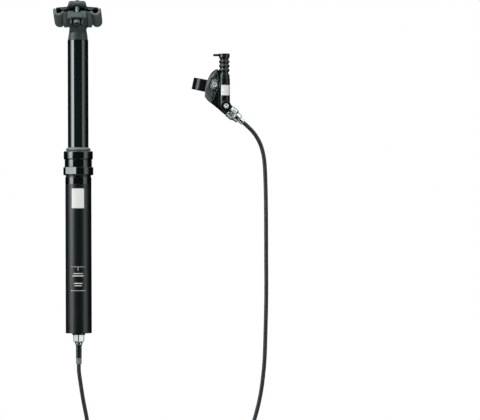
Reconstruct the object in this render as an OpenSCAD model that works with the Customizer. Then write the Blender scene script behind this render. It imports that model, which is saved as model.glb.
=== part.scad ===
// Telescopic seatpost with a hydraulic remote. Millimetres, +Z up the post, +Y towards the
// front of the bicycle, origin on the post axis at the top of the clamped tube wall.

/* [Lower tube] */
// Outside diameter of the lower tube, which is the seat tube size
lower_tube_d = 31.6; // [31:0.1:34.9]
// Wall of the lower tube
lower_tube_wall = 1.7; // [1.5:0.1:1.9]
// Length of the clamped wall of the lower tube
lower_tube_len = 188.6; // [188:0.2:260]
// Height of the narrow recess between the clamped wall and the collar
recess_h = 2.4; // [1:0.1:5]
// Depth of that recess below the tube's outside
recess_depth = 0.55; // [0.3:0.05:0.7]

/* [Collar] */
// How far the collar nut stands out past the tube
nut_lip = 2.35; // [1.8:0.05:4]
// Height of the collar nut
nut_h = 9.8; // [8:0.1:14]
// Depth of the wrench flats in the collar nut
flat_depth = 1.55; // [0.5:0.05:1.6]
// How far the plain middle band stands out past the tube
band_lip = 0.65; // [0.4:0.05:1.6]
// Height of the plain middle band
band_h = 9.2; // [8:0.1:14]
// How far the seal cap stands out past the tube
cap_lip = 1.85; // [1:0.05:3]
// Height of the seal cap
cap_h = 8.8; // [8:0.1:14]
// Height of the wiper lip above the seal cap
wiper_h = 2; // [1:0.1:4]
// Chamfer of the collar's edges
collar_chamfer = 1; // [0.4:0.1:1.5]

/* [Upper tube] */
// Radial gap between the two tubes, which the bushings fill
tube_gap = 1.6; // [1.5:0.05:1.9]
// Wall of the upper tube
upper_tube_wall = 2; // [1.8:0.1:2.3]
// Length of upper tube that shows above the seal cap
upper_shown = 135.7; // [133:0.1:160]
// Drop of the saddle
drop = 125; // [100:1:128]
// Width of an anti-rotation key
key_w = 3; // [2:0.1:4]
// Length of an anti-rotation key
key_len = 14; // [8:0.5:16]

/* [Hydraulics] */
// Diameter of the damper rod
rod_d = 10; // [9:0.1:11]
// Diameter of the oil passage in the damper rod
rod_bore_d = 6; // [5.6:0.1:6.6]
// Height of the main piston
piston_h = 11.5; // [10:0.5:14]
// Height of the floating piston
float_h = 12; // [8:0.5:12]
// Lift of the poppet valve
poppet_lift = 2.5; // [1:0.1:3]
// Depth of the foot cap inside the lower tube
foot_recess = 6; // [5:0.1:10]
// Thickness of the foot cap
foot_h = 10; // [9:0.5:12]
// Width of the hose fitting's hexagon across its flats
fitting_af = 13; // [10:0.5:13]
// Length of the hose fitting below the foot cap
fitting_len = 20; // [17:0.5:26]
// Diameter of the strain relief
relief_d = 7.3; // [6.6:0.1:8.6]
// Length of the strain relief
relief_len = 16; // [12:0.5:24]
// Length of the hose sleeve
sleeve_len = 7.4; // [5:0.2:12]

/* [Saddle clamp] */
// Distance between the saddle rails
rail_spacing = 44; // [43:0.5:46]
// Diameter of a saddle rail
rail_d = 7; // [6.8:0.1:7.2]
// Angle of the rails to the post, nose down
nose_down = 16; // [12:0.5:18]
// Length of the rail jaws
jaw_len = 45; // [36:1:48]
// Thickness of the jaws around the rails
jaw_wall = 2.8; // [2.2:0.1:3.4]
// Radius of the cradle's rocking face
rock_r = 26; // [25.6:0.1:26.4]
// Height of the rocking axis above the rails
rock_h = 15.5; // [15.1:0.1:15.9]
// Half width of the head under the cradle
head_half_w = 11.5; // [10.5:0.1:12]
// Height of the neck, from the upper tube to its waist
neck_h = 14.1; // [12:0.1:15]
// Half width of the neck at its waist
neck_waist = 9.5; // [8:0.1:10.5]
// Diameter of the clamp bolts
bolt_d = 5; // [4.5:0.1:5.2]
// Lean of the clamp bolts from the clamp's upright
bolt_splay = 14; // [12:0.5:15]

/* [Remote] */
// Place of the plunger axis beside the post
remote_x = 177; // [150:1:200]
// Height of the remote
remote_z = 107.4; // [90:0.2:120]
// Diameter of the remote's barrel
barrel_d = 13.6; // [13.2:0.1:15]
// Bore of the master cylinder
master_d = 9.8; // [9.4:0.1:10.2]
// Travel of the button
button_travel = 8; // [5:0.5:9]
// Diameter of the button
button_d = 13.2; // [12:0.1:15]
// Thickness of the button
button_h = 5; // [3.5:0.1:7]
// Length of the bellows
bellows_len = 19.4; // [18:0.2:26]
// Number of pleats in the bellows
pleats = 3; // [2:1:5]
// Handlebar diameter
bar_d = 22.2; // [21.8:0.1:22.6]
// Width of the handlebar clamp
bar_clamp_w = 14; // [12:0.5:16]
// Largest diameter of the speed adjuster
adjuster_d = 15.3; // [14:0.1:17]
// Length of the speed adjuster
adjuster_len = 15.8; // [12:0.2:20]
// Number of flutes on the speed adjuster
flutes = 12; // [8:1:16]

/* [Hose] */
// Outside diameter of the hose
hose_d = 5; // [4.5:0.1:5.2]
// Outer radius of the stored coil's turns
coil_r = 34; // [33:0.5:38]

/* [Hidden] */
$fn = 64;
run_gap = 0.05;
slide_gap = 0.03;
seat_gap = 0.02;
free_gap = 0.3;
eps = 0.01;

// Heights up the post
nut_z = recess_h;
band_z = nut_z + nut_h;
cap_z = band_z + band_h;
cap_top = cap_z + cap_h;
neck_z = cap_top + upper_shown;

// Radii of the two tubes
lower_r = lower_tube_d / 2;
lower_bore = lower_r - lower_tube_wall;
thread_r = lower_r - recess_depth;
upper_r = lower_bore - tube_gap;
upper_bore = upper_r - upper_tube_wall;

// Collar
housing_foot = -8;
housing_r = lower_bore - run_gap;
housing_bore = upper_r + 0.25;
bush_wall = 0.8;
bush_r = upper_r + slide_gap + bush_wall;
bush_z = band_z - 1.2;
cap_spigot_h = 5;
cap_spigot_r = lower_r - 0.8;
foam_r = upper_r + 1.45;
wiper_r = upper_r + 1.8;

// Keys in the upper tube, which slide in grooves inside the lower tube
lower_bush_h = 14;
key_angles = [90, 210, 330];
key_foot = housing_foot - 1 - key_len;
key_in = upper_r - 1;
key_out = lower_bore + 0.75;
groove_foot = key_foot - drop - 2;
groove_top = -1.2;
tube_foot = key_foot - lower_bush_h - 0.6;

// Hydraulics
guide_h = 12;
bumper_h = 5;
top_out_gap = 0.4;
piston_z = tube_foot + guide_h + bumper_h + top_out_gap;
piston_top = piston_z + piston_h;
piston_crown = 3;
rod_r = rod_d / 2;
rod_bore = rod_bore_d / 2;
float_ratio = (rod_r / upper_bore) * (rod_r / upper_bore);
float_travel = drop * float_ratio;
poppet_head_h = 2.5;
poppet_stem_r = 1.6;
poppet_collar_z = piston_z - 20;
float_z = piston_top + drop - float_travel + poppet_head_h + poppet_lift + 3;
seal_d = 2;
seal_h = seal_d + 0.4;
seal_floor = upper_bore - slide_gap - seal_d - seat_gap;

// Foot of the post
foot_z = -lower_tube_len + foot_recess;
foot_top = foot_z + foot_h;
snap_h = 1.5;
snap_depth = 0.6;
snap_lip = 1.2;
rod_foot = foot_z + 2.6;
fitting_foot = foot_z - fitting_len;
relief_foot = fitting_foot - relief_len;
sleeve_foot = relief_foot - sleeve_len;
bleed_gap = 0.4;
fitting_corner = fitting_af / 2 / cos(30);
fitting_cone_h = 6;
fitting_collar_h = 4;
bleed_r = (lower_bore - fitting_corner) / 2 - bleed_gap;
bleed_thread_r = bleed_r * 0.55;
bleed_angle = 300;
bleed_at = fitting_corner + bleed_gap + bleed_r;
lobe_r = bleed_r * 0.8;
lobe_depth = 2.4;
foot_screw_r = 1.25;
foot_screw_head_r = 1.85;
foot_screw_head_h = 1.6;
foot_screw_angles = [60, 180];
foot_screw_gap = 0.247223;
foot_screw_at = lower_bore - snap_lip - foot_screw_gap - foot_screw_head_r;
foot_seal_d = 1.6;
foot_seal_z = foot_z + 4;
screw_depth = 2.8;

// Saddle clamp. Places in it are [along the rail, up from the rail].
rail_mid = [-2, neck_z + 28.5];
rail_r = rail_d / 2;
rail_x = rail_spacing / 2;
rock_gap = free_gap;
cheek_gap = free_gap;
cheek_in = head_half_w + cheek_gap;
jaw_r = rail_r + jaw_wall;
cheek_w = max(4.8, rail_x - jaw_r - cheek_in + 1.2);
cheek_r = rock_r + 2;
cradle_top = -1.5;
jaw_gap = 0.8;
lip_in = rail_x + rail_r + 0.6;
lip_w = 2.8;
lip_top = 3;
nut_at = [jaw_len / 2 - 3.6, 8.6];
nut_r = 3.2;
nut_half_len = 8.6;
nose_r = nut_r + 1;
nose_reach = 1.2;
dome_top = nut_at[1] + nose_r;
dome_under = nut_at[1] - nose_r;
dome_flat_w = 7.4;
dome_half_w = 9.7;
dome_corner = 5;
arm_root = [12.2, 6.8];
arm_mid = [17, 5.4];
arm_end_h = 4.6;
arch_in = [[14, 2], [11, 3.2], [7, dome_under]];
bolt_r = bolt_d / 2;
bolt_pivot_down = 23.7;
seat_r = 6;
bolt_tip = 5.6;
bolt_head_r = 4.3;
bolt_nut_gap = 0.45;
bolt_sweep = 1;
bolt_swing = 12.5;
slot_half_w = bolt_r + 0.4;
ear_foot = 1;
ear_top = 8.7;
ear_foot_w = 7.6;
ear_top_w = 5.4;
ear_len = 13;
ear_out = 0.5;
ear_skirt = 5;
ear_skirt_w = 8;
ear_skirt_in = 9;
ear_skirt_out = 3;

function row_yz(p) = [
    rail_mid[0] + p[0] * cos(nose_down) + p[1] * sin(nose_down),
    rail_mid[1] - p[0] * sin(nose_down) + p[1] * cos(nose_down)
];

rock_at = row_yz([0, rock_h]);

// Air valve in the neck
valve_r = 4;
valve_z = neck_z - 12;
valve_top = neck_z + 8;
spigot_len = 14;

// Remote. Its own frame has the plunger axis on Z.
barrel_r = barrel_d / 2;
barrel_top = 12;
barrel_foot = -22;
master_r = master_d / 2;
master_seal_d = 1.6;
boot_ring_h = 5;
boot_ring_r = 6.4;
bellows_z = barrel_top + boot_ring_h;
button_z = bellows_z + bellows_len + free_gap;
pleat_out = 6.5;
pleat_in = 5.4;
pleat_wall = 1;
plunger_r = 2.5;
master_h = 9;
master_z = barrel_top - master_h - 3;
spring_solid = 9;
master_foot = master_z - button_travel - spring_solid;
lip_reach = 6.7;
adjuster_at = [5.9, 0, -27.7];
adjuster_drop = 40;
nipple_r = 3;
ferrule_r = 3.4;
ferrule_len = 6;
bleed_boss_at = [2.3, -21.7];
bleed_boss_r = 5.9;
bleed_boss_y = -9.8;
bar_r = bar_d / 2;
bar_wall = 2.1;
bar_at = [-25.5, 20, 4];
bar_lean = 12;
bar_bolt_r = 2;
bar_bolt_head_r = 3;
bar_bolt_head_h = 3;
bar_bolt_x = bar_r + bar_bolt_r + 0.6;
bar_bolt_z = 3;
bar_split = 1;
hinge_r = 1.2;
knuckle_r = 2.6;
hinge_angle = 140;
hinge_out = bar_r + 3.1;
knuckle_w = 4.6;
band_ear_hole = 3.5;
wing_crest = [[-9, 0.6, 21.4], [-7.8, 0, 9.6], [-15, 0.8, -17.4]];
window = [[-15.4, 12.2], [-8.6, 12.2], [-8.6, 0.8], [-13, -1.8], [-18, -0.2]];
window_floor = 4.4;
plate_gap = 0.6;
plate_t = 1.2;

// Hose routes, in the post's frame
coil_at = [50, 0, -350];
coil_pitch = hose_d + 1;
layer_step = hose_d + 0.6;
layers = 4;
loop_rings = 24;
// A quarter turn past a whole number, so that the hose leaves at the bottom
coil_turns = 7.25;
layer_turns = coil_turns / layers;
coil_sides = 6;
run_sides = 8;
hose_r = hose_d / 2;
ferrule_out = adjuster_len + free_gap + ferrule_len;
adjuster_dir = [cos(adjuster_drop), 0, -sin(adjuster_drop)];
hose_end = [remote_x, 0, remote_z] + adjuster_at + ferrule_out * adjuster_dir;
coil_in = coil_at + [-coil_r, 0, hose_d];
coil_out = coil_at + [hose_d, (layers - 1) * layer_step, -coil_r];
post_route = [
    [0, 0, sleeve_foot],
    [0, 0, sleeve_foot - 8],
    [1.5, 0, -246],
    [5, 0, -269],
    [9, 0, -290],
    [13, 0, -314],
    coil_in + [0, 0, 12],
    coil_in
];
remote_route = [
    coil_out,
    coil_out + [12, 0, 0],
    [90, 16, -383],
    [125, 14, -378],
    [158, 11, -364],
    [186, 8, -341],
    [206, 5, -310],
    [218, 3, -272],
    [224, 1, -230],
    [226, 0, -185],
    [227, 0, -140],
    [227, 0, -95],
    [227, 0, -50],
    [226.5, 0, -10],
    [225, 0, 20],
    [220.5, 0, 39],
    [212.5, 0, 53],
    hose_end + 4 * adjuster_dir,
    hose_end
];

// Shapes that repeat

// A round bar from one height to another
module bar(r, low, high) {
    translate([0, 0, low]) cylinder(r = r, h = high - low);
}

// A round ring from one height to another
module ring(out, inner, low, high) {
    difference() {
        bar(out, low, high);
        bar(inner, low - 1, high + 1);
    }
}

// A ring with chamfered outer edges
module chamfered_ring(out, inner, low, high, bottom, top) {
    rotate_extrude() polygon([
        [inner, low], [out - bottom, low], [out, low + bottom],
        [out, high - top], [out - top, high], [inner, high]
    ]);
}

// A round rubber ring of the given section
module o_ring(out, section, z) {
    translate([0, 0, z]) rotate_extrude() translate([out - section / 2, 0]) circle(d = section);
}

// A hexagon socket cut downwards from the origin
module hex_socket(af, depth) {
    translate([0, 0, -depth]) cylinder(d = af / cos(30), h = depth + 1, $fn = 6);
}

// Places its children in the saddle clamp: X across, Y along the rails, Z up from them
module clamp_frame() {
    translate([0, rail_mid[0], rail_mid[1]]) rotate([-nose_down, 0, 0]) children();
}

// Places its children at a clamp bolt's pivot, Z up the bolt and Y outwards; end is 1 front, -1 rear
module bolt_frame(end) {
    clamp_frame() mirror([0, end > 0 ? 0 : 1, 0])
        translate([0, nut_at[0], nut_at[1]]) rotate([bolt_splay, 0, 0])
            translate([0, 0, -bolt_pivot_down]) children();
}

// A round bar across the clamp, at a place along and up from the rails
module clamp_cross_bar(p, r, half_w) {
    clamp_frame() translate([0, p[0], p[1]]) rotate([0, 90, 0])
        cylinder(r = r, h = 2 * half_w, center = true);
}

// Places its children in the remote's frame
module remote_frame() {
    translate([remote_x, 0, remote_z]) children();
}

// Places its children on the speed adjuster's axis, Z outwards
module adjuster_frame() {
    remote_frame() translate(adjuster_at) rotate([0, 90 + adjuster_drop, 0]) children();
}

// Places its children on the handlebar's axis
module bar_frame() {
    remote_frame() translate(bar_at) rotate([0, bar_lean, 0]) children();
}

// A hole along the bar clamp's bolt
module bar_bolt_hole(r) {
    translate([bar_bolt_x, 0, bar_bolt_z]) rotate([-90, 0, 0]) cylinder(r = r, h = 60, center = true);
}

// A sector of the bar ring's half plane, from one angle to another
module bar_sector(from, to, reach, w) {
    steps = 6;
    linear_extrude(height = w, center = true)
        polygon(concat([[0, 0]], [for (i = [0 : steps])
            let (a = from + (to - from) * i / steps) reach * [cos(a), sin(a)]]));
}

// Points of a smooth curve through a route's own points
function curve_point(a, b, c, d, t) =
    0.5 * (2 * b + (c - a) * t + (2 * a - 5 * b + 4 * c - d) * t * t + (3 * b - a - 3 * c + d) * t * t * t);

function smooth_route(route, steps) = concat(
    [for (i = [0 : len(route) - 2]) for (k = [0 : steps - 1])
        let (before = route[max(i - 1, 0)], after = route[min(i + 2, len(route) - 1)])
        curve_point(before, route[i], route[i + 1], after, k / steps)],
    [route[len(route) - 1]]
);

function unit(v) = v / norm(v);

function heading(path, i) = unit(path[min(i + 1, len(path) - 1)] - path[max(i - 1, 0)]);

function path_length(path) = [for (i = 0, s = 0; i < len(path);
    s = s + (i + 1 < len(path) ? norm(path[i + 1] - path[i]) : 0), i = i + 1) s][len(path) - 1];

// One unbroken tube along a path that never runs along Y, square to its start and finish headings
module tube(path, r, sides, start, finish) {
    rings = len(path);
    points = [for (i = [0 : rings - 1])
        let (t = i == 0 ? start : i == rings - 1 ? finish : heading(path, i))
        let (side = unit(cross(t, [0, 1, 0])), up = cross(side, t))
        for (k = [0 : sides - 1]) path[i] + r * (cos(360 * k / sides) * side + sin(360 * k / sides) * up)];
    walls = [for (i = [0 : rings - 2]) for (k = [0 : sides - 1])
        let (a = i * sides + k, b = i * sides + (k + 1) % sides)
        for (f = [[a, a + sides, b], [b, a + sides, b + sides]]) f];
    start_cap = [for (k = [1 : sides - 2]) [0, k, k + 1]];
    last = (rings - 1) * sides;
    end_cap = [for (k = [1 : sides - 2]) [last, last + k + 1, last + k]];
    polyhedron(points = points, faces = concat(walls, start_cap, end_cap), convexity = 10);
}

// The stored coil: its turns wind in and out in layers, and climb at each reversal
function coil_radius(t) =
    let (layer = min(floor(t / layer_turns), layers - 1), s = t - layer * layer_turns)
    layer % 2 == 0 ? coil_r - coil_pitch * s : coil_r - coil_pitch * (layer_turns - s);

function climb(t) = t <= -0.25 ? 0 : t >= 0.25 ? 1 : 0.5 + 0.5 * sin(360 * t);

function coil_height(t) =
    layer_step * (climb(t - layer_turns) + climb(t - 2 * layer_turns) + climb(t - 3 * layer_turns));

function coil_point(t) =
    let (r = coil_radius(t), a = 180 + 360 * t)
    coil_at + [r * cos(a), coil_height(t), r * sin(a)];

coil_path = concat([coil_in],
    [for (i = [0 : round(coil_turns * loop_rings)]) coil_point(i / loop_rings)], [coil_out]);
coil_self_gap = min([for (i = [0 : len(coil_path) - 1]) for (j = [i + loop_rings / 2 : len(coil_path) - 1])
    norm(coil_path[i] - coil_path[j])]) - hose_d;
post_path = smooth_route(post_route, 2);
remote_path = smooth_route(remote_route, 3);
echo(coil_self_gap = coil_self_gap);
echo(hose_length = path_length(post_path) + path_length(coil_path) + path_length(remote_path));
echo(rock_at = rock_at, rail_mid = rail_mid);
echo(rear_nut_at = row_yz([-nut_at[0], nut_at[1]]), front_nut_at = row_yz(nut_at));
pivot_in_clamp = nut_at + bolt_pivot_down * [sin(bolt_splay), -cos(bolt_splay)];
echo(rear_pivot = row_yz([-pivot_in_clamp[0], pivot_in_clamp[1]]), front_pivot = row_yz(pivot_in_clamp));
echo(float_ratio = float_ratio, hose_end = hose_end, sleeve_foot = sleeve_foot);

// Lower tube and collar

module lower_tube() {
    color("#1b1c1d") difference() {
        union() {
            chamfered_ring(lower_r, lower_bore, -lower_tube_len, -1, 0.4, 0);
            ring(lower_r, lower_bore, -1 - eps, 0);
            ring(thread_r, lower_bore, -1, band_z);
        }
        ring(lower_bore + snap_depth, lower_bore - 1, foot_z - snap_h, foot_z);
        key_blocks(0, key_out + run_gap, groove_foot, groove_top, key_w + 2 * run_gap);
    }
}

module collar_nut() {
    flat_at = lower_r + nut_lip - flat_depth;
    color("#121314") difference() {
        chamfered_ring(lower_r + nut_lip, thread_r + run_gap, nut_z, band_z, collar_chamfer, 0.3);
        for (a = [239, 59]) rotate(a) translate([flat_at, -lower_tube_d, nut_z + 1.6])
            cube([lower_r, 2 * lower_tube_d, nut_h]);
    }
}

// Blocks for the keys, or for what is cut for them
module key_blocks(inner, out, low, high, w) {
    for (a = key_angles) rotate(a) translate([inner, -w / 2, low]) cube([out - inner, w, high - low]);
}

module seal_housing() {
    color("#17181a") difference() {
        union() {
            bar(housing_r, housing_foot, band_z);
            bar(lower_r + band_lip, band_z, cap_z);
            bar(cap_spigot_r, cap_z - 1, cap_z + cap_spigot_h);
        }
        bar(housing_bore, housing_foot - 1, cap_top);
        bar(bush_r + seat_gap, bush_z, cap_top);
        bar(foam_r + seat_gap, cap_z, cap_top);
    }
}

module seal_cap() {
    color("#101112") difference() {
        chamfered_ring(lower_r + cap_lip, wiper_r + run_gap, cap_z, cap_top, collar_chamfer, collar_chamfer);
        bar(cap_spigot_r + run_gap, cap_z - 1, cap_z + cap_spigot_h + run_gap);
    }
}

module wiper_seal() {
    low = cap_z + cap_spigot_h + 2 * run_gap;
    inner = upper_r + slide_gap;
    color("#0c0c0d") rotate_extrude() polygon([
        [inner + 0.5, low], [wiper_r, low], [wiper_r, cap_top], [inner + 0.9, cap_top],
        [inner + 0.5, cap_top + wiper_h], [inner, cap_top + wiper_h], [inner, cap_top - 0.5]
    ]);
}

module foam_ring() {
    color("#6b4a2a") ring(foam_r, upper_r + run_gap, cap_z + seat_gap, cap_z + cap_spigot_h - 0.4);
}

module upper_bushing() {
    color("#c9a227") ring(bush_r, upper_r + slide_gap, bush_z + seat_gap, cap_z - seat_gap);
}

module anti_rotation_keys() {
    color("#b5892f")
        key_blocks(key_in, key_out, key_foot + seat_gap, key_foot + key_len - seat_gap, key_w);
}

// Foot of the post

module foot_cap() {
    color("#141516") difference() {
        bar(lower_bore - run_gap, foot_z, foot_top);
        bar(rod_r + seat_gap, rod_foot, foot_top + 1);
        bar(rod_bore - 1, foot_z - 1, rod_foot + 1);
        ring(lower_bore, lower_bore - foot_seal_d - 0.1, foot_seal_z - 1, foot_seal_z + 1);
        rotate(bleed_angle) translate([bleed_at, 0, foot_z - 1])
            cylinder(r = bleed_thread_r, h = screw_depth + 1);
        for (a = foot_screw_angles) rotate(a) translate([foot_screw_at, 0, foot_z - 1])
            cylinder(r = foot_screw_r, h = screw_depth + 1);
        for (a = [0, 120, 240]) rotate(a) for (turn = [-14, 14])
            rotate(turn) translate([bleed_at, 0, foot_z - 1]) cylinder(r = lobe_r, h = lobe_depth + 1);
    }
}

module foot_o_ring() {
    color("#0c0c0d") o_ring(lower_bore - seat_gap, foot_seal_d, foot_seal_z);
}

module retaining_ring() {
    color("#8f9498") difference() {
        ring(lower_bore + snap_depth - seat_gap, lower_bore - snap_lip, foot_z - snap_h + seat_gap,
            foot_z - seat_gap);
        rotate(bleed_angle) translate([lower_bore - 5, -bleed_r - 0.6, foot_z - 5])
            cube([10, 2 * bleed_r + 1.2, 10]);
    }
}

module foot_screws() {
    color("#9aa0a4") for (a = foot_screw_angles) rotate(a) translate([foot_screw_at, 0, 0]) difference() {
        union() {
            bar(foot_screw_head_r, foot_z - foot_screw_head_h, foot_z);
            bar(foot_screw_r - seat_gap, foot_z - 1, foot_z + screw_depth - 0.2);
        }
        translate([0, 0, foot_z - foot_screw_head_h]) mirror([0, 0, 1]) hex_socket(1.6, 1);
    }
}

module damper_rod() {
    color("#a9adb0") ring(rod_r, rod_bore, rod_foot, piston_top - piston_crown);
}

module main_piston() {
    color("#8d9195") difference() {
        bar(upper_bore - run_gap, piston_z, piston_top);
        bar(rod_r + seat_gap, piston_z - 1, piston_top - piston_crown + seat_gap);
        bar(rod_bore - 0.6, piston_z, piston_top + 1);
        ring(upper_bore, seal_floor, piston_z + 4, piston_z + 4 + seal_h);
    }
}

module piston_seal() {
    color("#0c0c0d") o_ring(upper_bore - slide_gap, seal_d, piston_z + 4 + seal_h / 2);
}

module poppet_valve() {
    color("#b9bcbe") {
        bar(rod_bore + 1.2, piston_top + free_gap, piston_top + free_gap + poppet_head_h);
        bar(poppet_stem_r, poppet_collar_z - 12, piston_top + 1);
        bar(rod_bore - 0.4, poppet_collar_z - 2, poppet_collar_z);
    }
}

module poppet_spring() {
    color("#8f9498") ring(rod_bore - 0.2, poppet_stem_r + 0.3, poppet_collar_z + 0.1,
        piston_top - piston_crown - 0.1);
}

module hose_fitting() {
    color("#d8dadc") {
        bar(fitting_af / 2, fitting_foot + fitting_cone_h, foot_z);
        rotate(30) translate([0, 0, fitting_foot + fitting_cone_h])
            cylinder(r = fitting_corner, h = fitting_len - fitting_cone_h - fitting_collar_h, $fn = 6);
        translate([0, 0, fitting_foot])
            cylinder(r1 = relief_d / 2 + 0.4, r2 = fitting_af / 2 - 0.3, h = fitting_cone_h + eps);
    }
}

module post_bleed_screw() {
    color("#d8dadc") rotate(bleed_angle) translate([bleed_at, 0, 0]) difference() {
        union() {
            bar(bleed_r, foot_z - 5, foot_z);
            bar(bleed_thread_r - seat_gap, foot_z - 1, foot_z + screw_depth - 0.2);
        }
        translate([0, 0, foot_z - 5]) mirror([0, 0, 1]) hex_socket(2.5, 2.6);
    }
}

module strain_relief() {
    ribs = 5;
    pitch = (relief_len - 3) / ribs;
    color("#151617") difference() {
        bar(relief_d / 2, relief_foot, fitting_foot);
        for (i = [0 : ribs - 1])
            ring(relief_d, relief_d / 2 - 0.5, relief_foot + 1.5 + i * pitch, relief_foot + 2.7 + i * pitch);
    }
}

module hose_sleeve() {
    color("#4a4d50") chamfered_ring(relief_d / 2 - 0.25, 1, sleeve_foot, relief_foot, 0.4, 0.2);
}

// Hose

module hose_post_run() {
    color("#2a2c2d") tube(post_path, hose_r, run_sides, [0, 0, -1], [0, 0, -1]);
}

module hose_coil() {
    color("#2a2c2d") tube(coil_path, hose_r, coil_sides, [0, 0, -1], [1, 0, 0]);
}

module hose_remote_run() {
    color("#2a2c2d") tube(remote_path, hose_r, run_sides, [1, 0, 0], -adjuster_dir);
}

module hose_tie() {
    depth = coil_pitch * layer_turns + hose_d + 1;
    width = (layers - 1) * layer_step + hose_d + 1;
    wall = 1;
    strap_w = 9;
    middle = [0, (layers - 1) * layer_step / 2, coil_r - coil_pitch * layer_turns / 2];
    color("#0f1011") translate(coil_at + middle)
        difference() {
            cube([strap_w, width + 2 * wall, depth + 2 * wall], center = true);
            cube([strap_w + 1, width, depth], center = true);
        }
}

// Upper tube

module upper_tube() {
    color("#0d0e0f") difference() {
        ring(upper_r, upper_bore, tube_foot, neck_z);
        key_blocks(key_in - seat_gap, lower_r, key_foot, key_foot + key_len, key_w + 2 * seat_gap);
    }
}

module lower_bushing() {
    color("#c9a227") ring(lower_bore - slide_gap, upper_r + seat_gap, tube_foot, tube_foot + lower_bush_h);
}

module rod_guide() {
    color("#8d9195") ring(upper_bore - seat_gap, rod_r + run_gap, tube_foot, tube_foot + guide_h);
}

module top_out_bumper() {
    foot = tube_foot + guide_h;
    color("#2b2b2b") ring(upper_bore - 1.5, rod_r + 0.2, foot, foot + bumper_h);
}

module floating_piston() {
    color("#8d9195") difference() {
        bar(upper_bore - run_gap, float_z, float_z + float_h);
        bar(upper_bore - 3, float_z + seal_h + 2, float_z + float_h + 1);
        ring(upper_bore, seal_floor, float_z + 1, float_z + 1 + seal_h);
    }
}

module floating_seal() {
    color("#0c0c0d") o_ring(upper_bore - slide_gap, seal_d, float_z + 1 + seal_h / 2);
}

// Seat head

// Outline of the head from behind: the neck narrows to a waist and flares under the cradle
module head_outline() {
    waist_z = neck_z + neck_h;
    rotate([90, 0, 0]) linear_extrude(height = 100, center = true) polygon([
        [-upper_r + 0.4, neck_z], [upper_r - 0.4, neck_z], [neck_waist, waist_z],
        [head_half_w, waist_z + 2.4], [head_half_w, rail_mid[1] + 20],
        [-head_half_w, rail_mid[1] + 20], [-head_half_w, waist_z + 2.4], [-neck_waist, waist_z]
    ]);
}

// Outline of the head from the side, from the neck out to the two ears
module head_side() {
    rear_top = row_yz([-21.3, 0.3]);
    rear_low = row_yz([-24, -10.5]);
    front_low = row_yz([24, -10.5]);
    front_top = row_yz([21.3, 0.3]);
    rotate([90, 0, 90]) linear_extrude(height = 60, center = true) polygon([
        rear_top, rear_low, [-upper_r - 2.5, neck_z + 14], [-upper_r, neck_z + 10],
        [upper_r, neck_z + 3], [upper_r + 1.2, neck_z + 6], front_low, front_top
    ]);
}

// Ear that carries a clamp bolt, wider at its foot, with sides that reach down past the bolt's head
module bolt_ear(end) {
    bolt_frame(end) translate([0, ear_out, 0]) rotate([90, 0, 0])
        linear_extrude(height = ear_len, center = true) polygon([
            [-ear_foot_w, ear_foot], [ear_foot_w, ear_foot], [ear_top_w, ear_top], [-ear_top_w, ear_top]
        ]);
    bolt_frame(end) translate([-ear_skirt_w, -ear_skirt_in, -ear_skirt])
        cube([2 * ear_skirt_w, ear_skirt_in + ear_skirt_out, ear_skirt + ear_foot + 1]);
}

module seat_head() {
    color("#2a2c2e") difference() {
        union() {
            bar(upper_bore - seat_gap, neck_z - spigot_len, neck_z + 1);
            intersection() {
                union() {
                    bar(upper_r, neck_z, rail_mid[1]);
                    head_side();
                }
                head_outline();
            }
            for (end = [-1, 1]) bolt_ear(end);
        }
        clamp_cross_bar([0, rock_h], rock_r + rock_gap, 40);
        for (end = [-1, 1]) bolt_frame(end) {
            sphere(r = seat_r + rock_gap);
            cylinder(r = bolt_r + bolt_sweep + free_gap, h = bolt_pivot_down);
            mirror([0, 0, 1]) cylinder(r = seat_r + 0.4, h = 14);
        }
        bar(valve_r + seat_gap, neck_z - spigot_len - 1, rail_mid[1]);
        bar(valve_r + 1.4, valve_top - 1.6, rail_mid[1]);
    }
}

module air_valve() {
    color("#b5892f") ring(valve_r, 2.2, valve_z, valve_top);
}

module valve_core() {
    color("#9aa0a4") {
        bar(2.18, valve_z + 2, valve_top - 4);
        bar(0.8, valve_top - 5, valve_top - 0.5);
    }
}

module valve_cap() {
    color("#0f1011") difference() {
        bar(valve_r + 1, valve_top - 1.4, valve_top + 3.4);
        bar(valve_r + seat_gap, valve_top - 2, valve_top + 0.2);
    }
}

// Saddle clamp

module rail_grooves() {
    for (s = [-1, 1]) clamp_frame() translate([s * rail_x, 0, 0]) rotate([90, 0, 0])
        cylinder(r = rail_r, h = 200, center = true);
}

// A block in the clamp's frame between two corners
module clamp_block(low, high) {
    clamp_frame() translate(low) cube(high - low);
}

module lower_cradle() {
    color("#26282a") difference() {
        union() {
            intersection() {
                clamp_cross_bar([0, rock_h], rock_r, cheek_in + 1);
                clamp_block([-40, -40, -40], [40, 40, cradle_top]);
            }
            for (s = [-1, 1]) intersection() {
                clamp_frame() translate([s * (cheek_in + cheek_w / 2), 0, rock_h]) rotate([0, 90, 0])
                    cylinder(r = cheek_r, h = cheek_w, center = true);
                clamp_block([-40, -40, -40], [40, 40, cradle_top]);
            }
            for (s = [-1, 1]) {
                intersection() {
                    clamp_frame() translate([s * (rail_x + 0.6), 0, 0]) rotate([90, 0, 0])
                        cylinder(r = jaw_r, h = jaw_len, center = true);
                    clamp_block([-60, -60, -60], [60, 60, -jaw_gap]);
                }
                clamp_frame() translate([s * (lip_in + lip_w / 2), 0, (lip_top - 2) / 2])
                    cube([lip_w, jaw_len, lip_top + 2], center = true);
            }
        }
        rail_grooves();
        for (end = [-1, 1]) clamp_frame()
            translate([-4.5, end > 0 ? nut_at[0] - 3.9 : 3.9 - nut_at[0] - jaw_len, -20])
                cube([9, jaw_len, 40]);
    }
}

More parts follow.
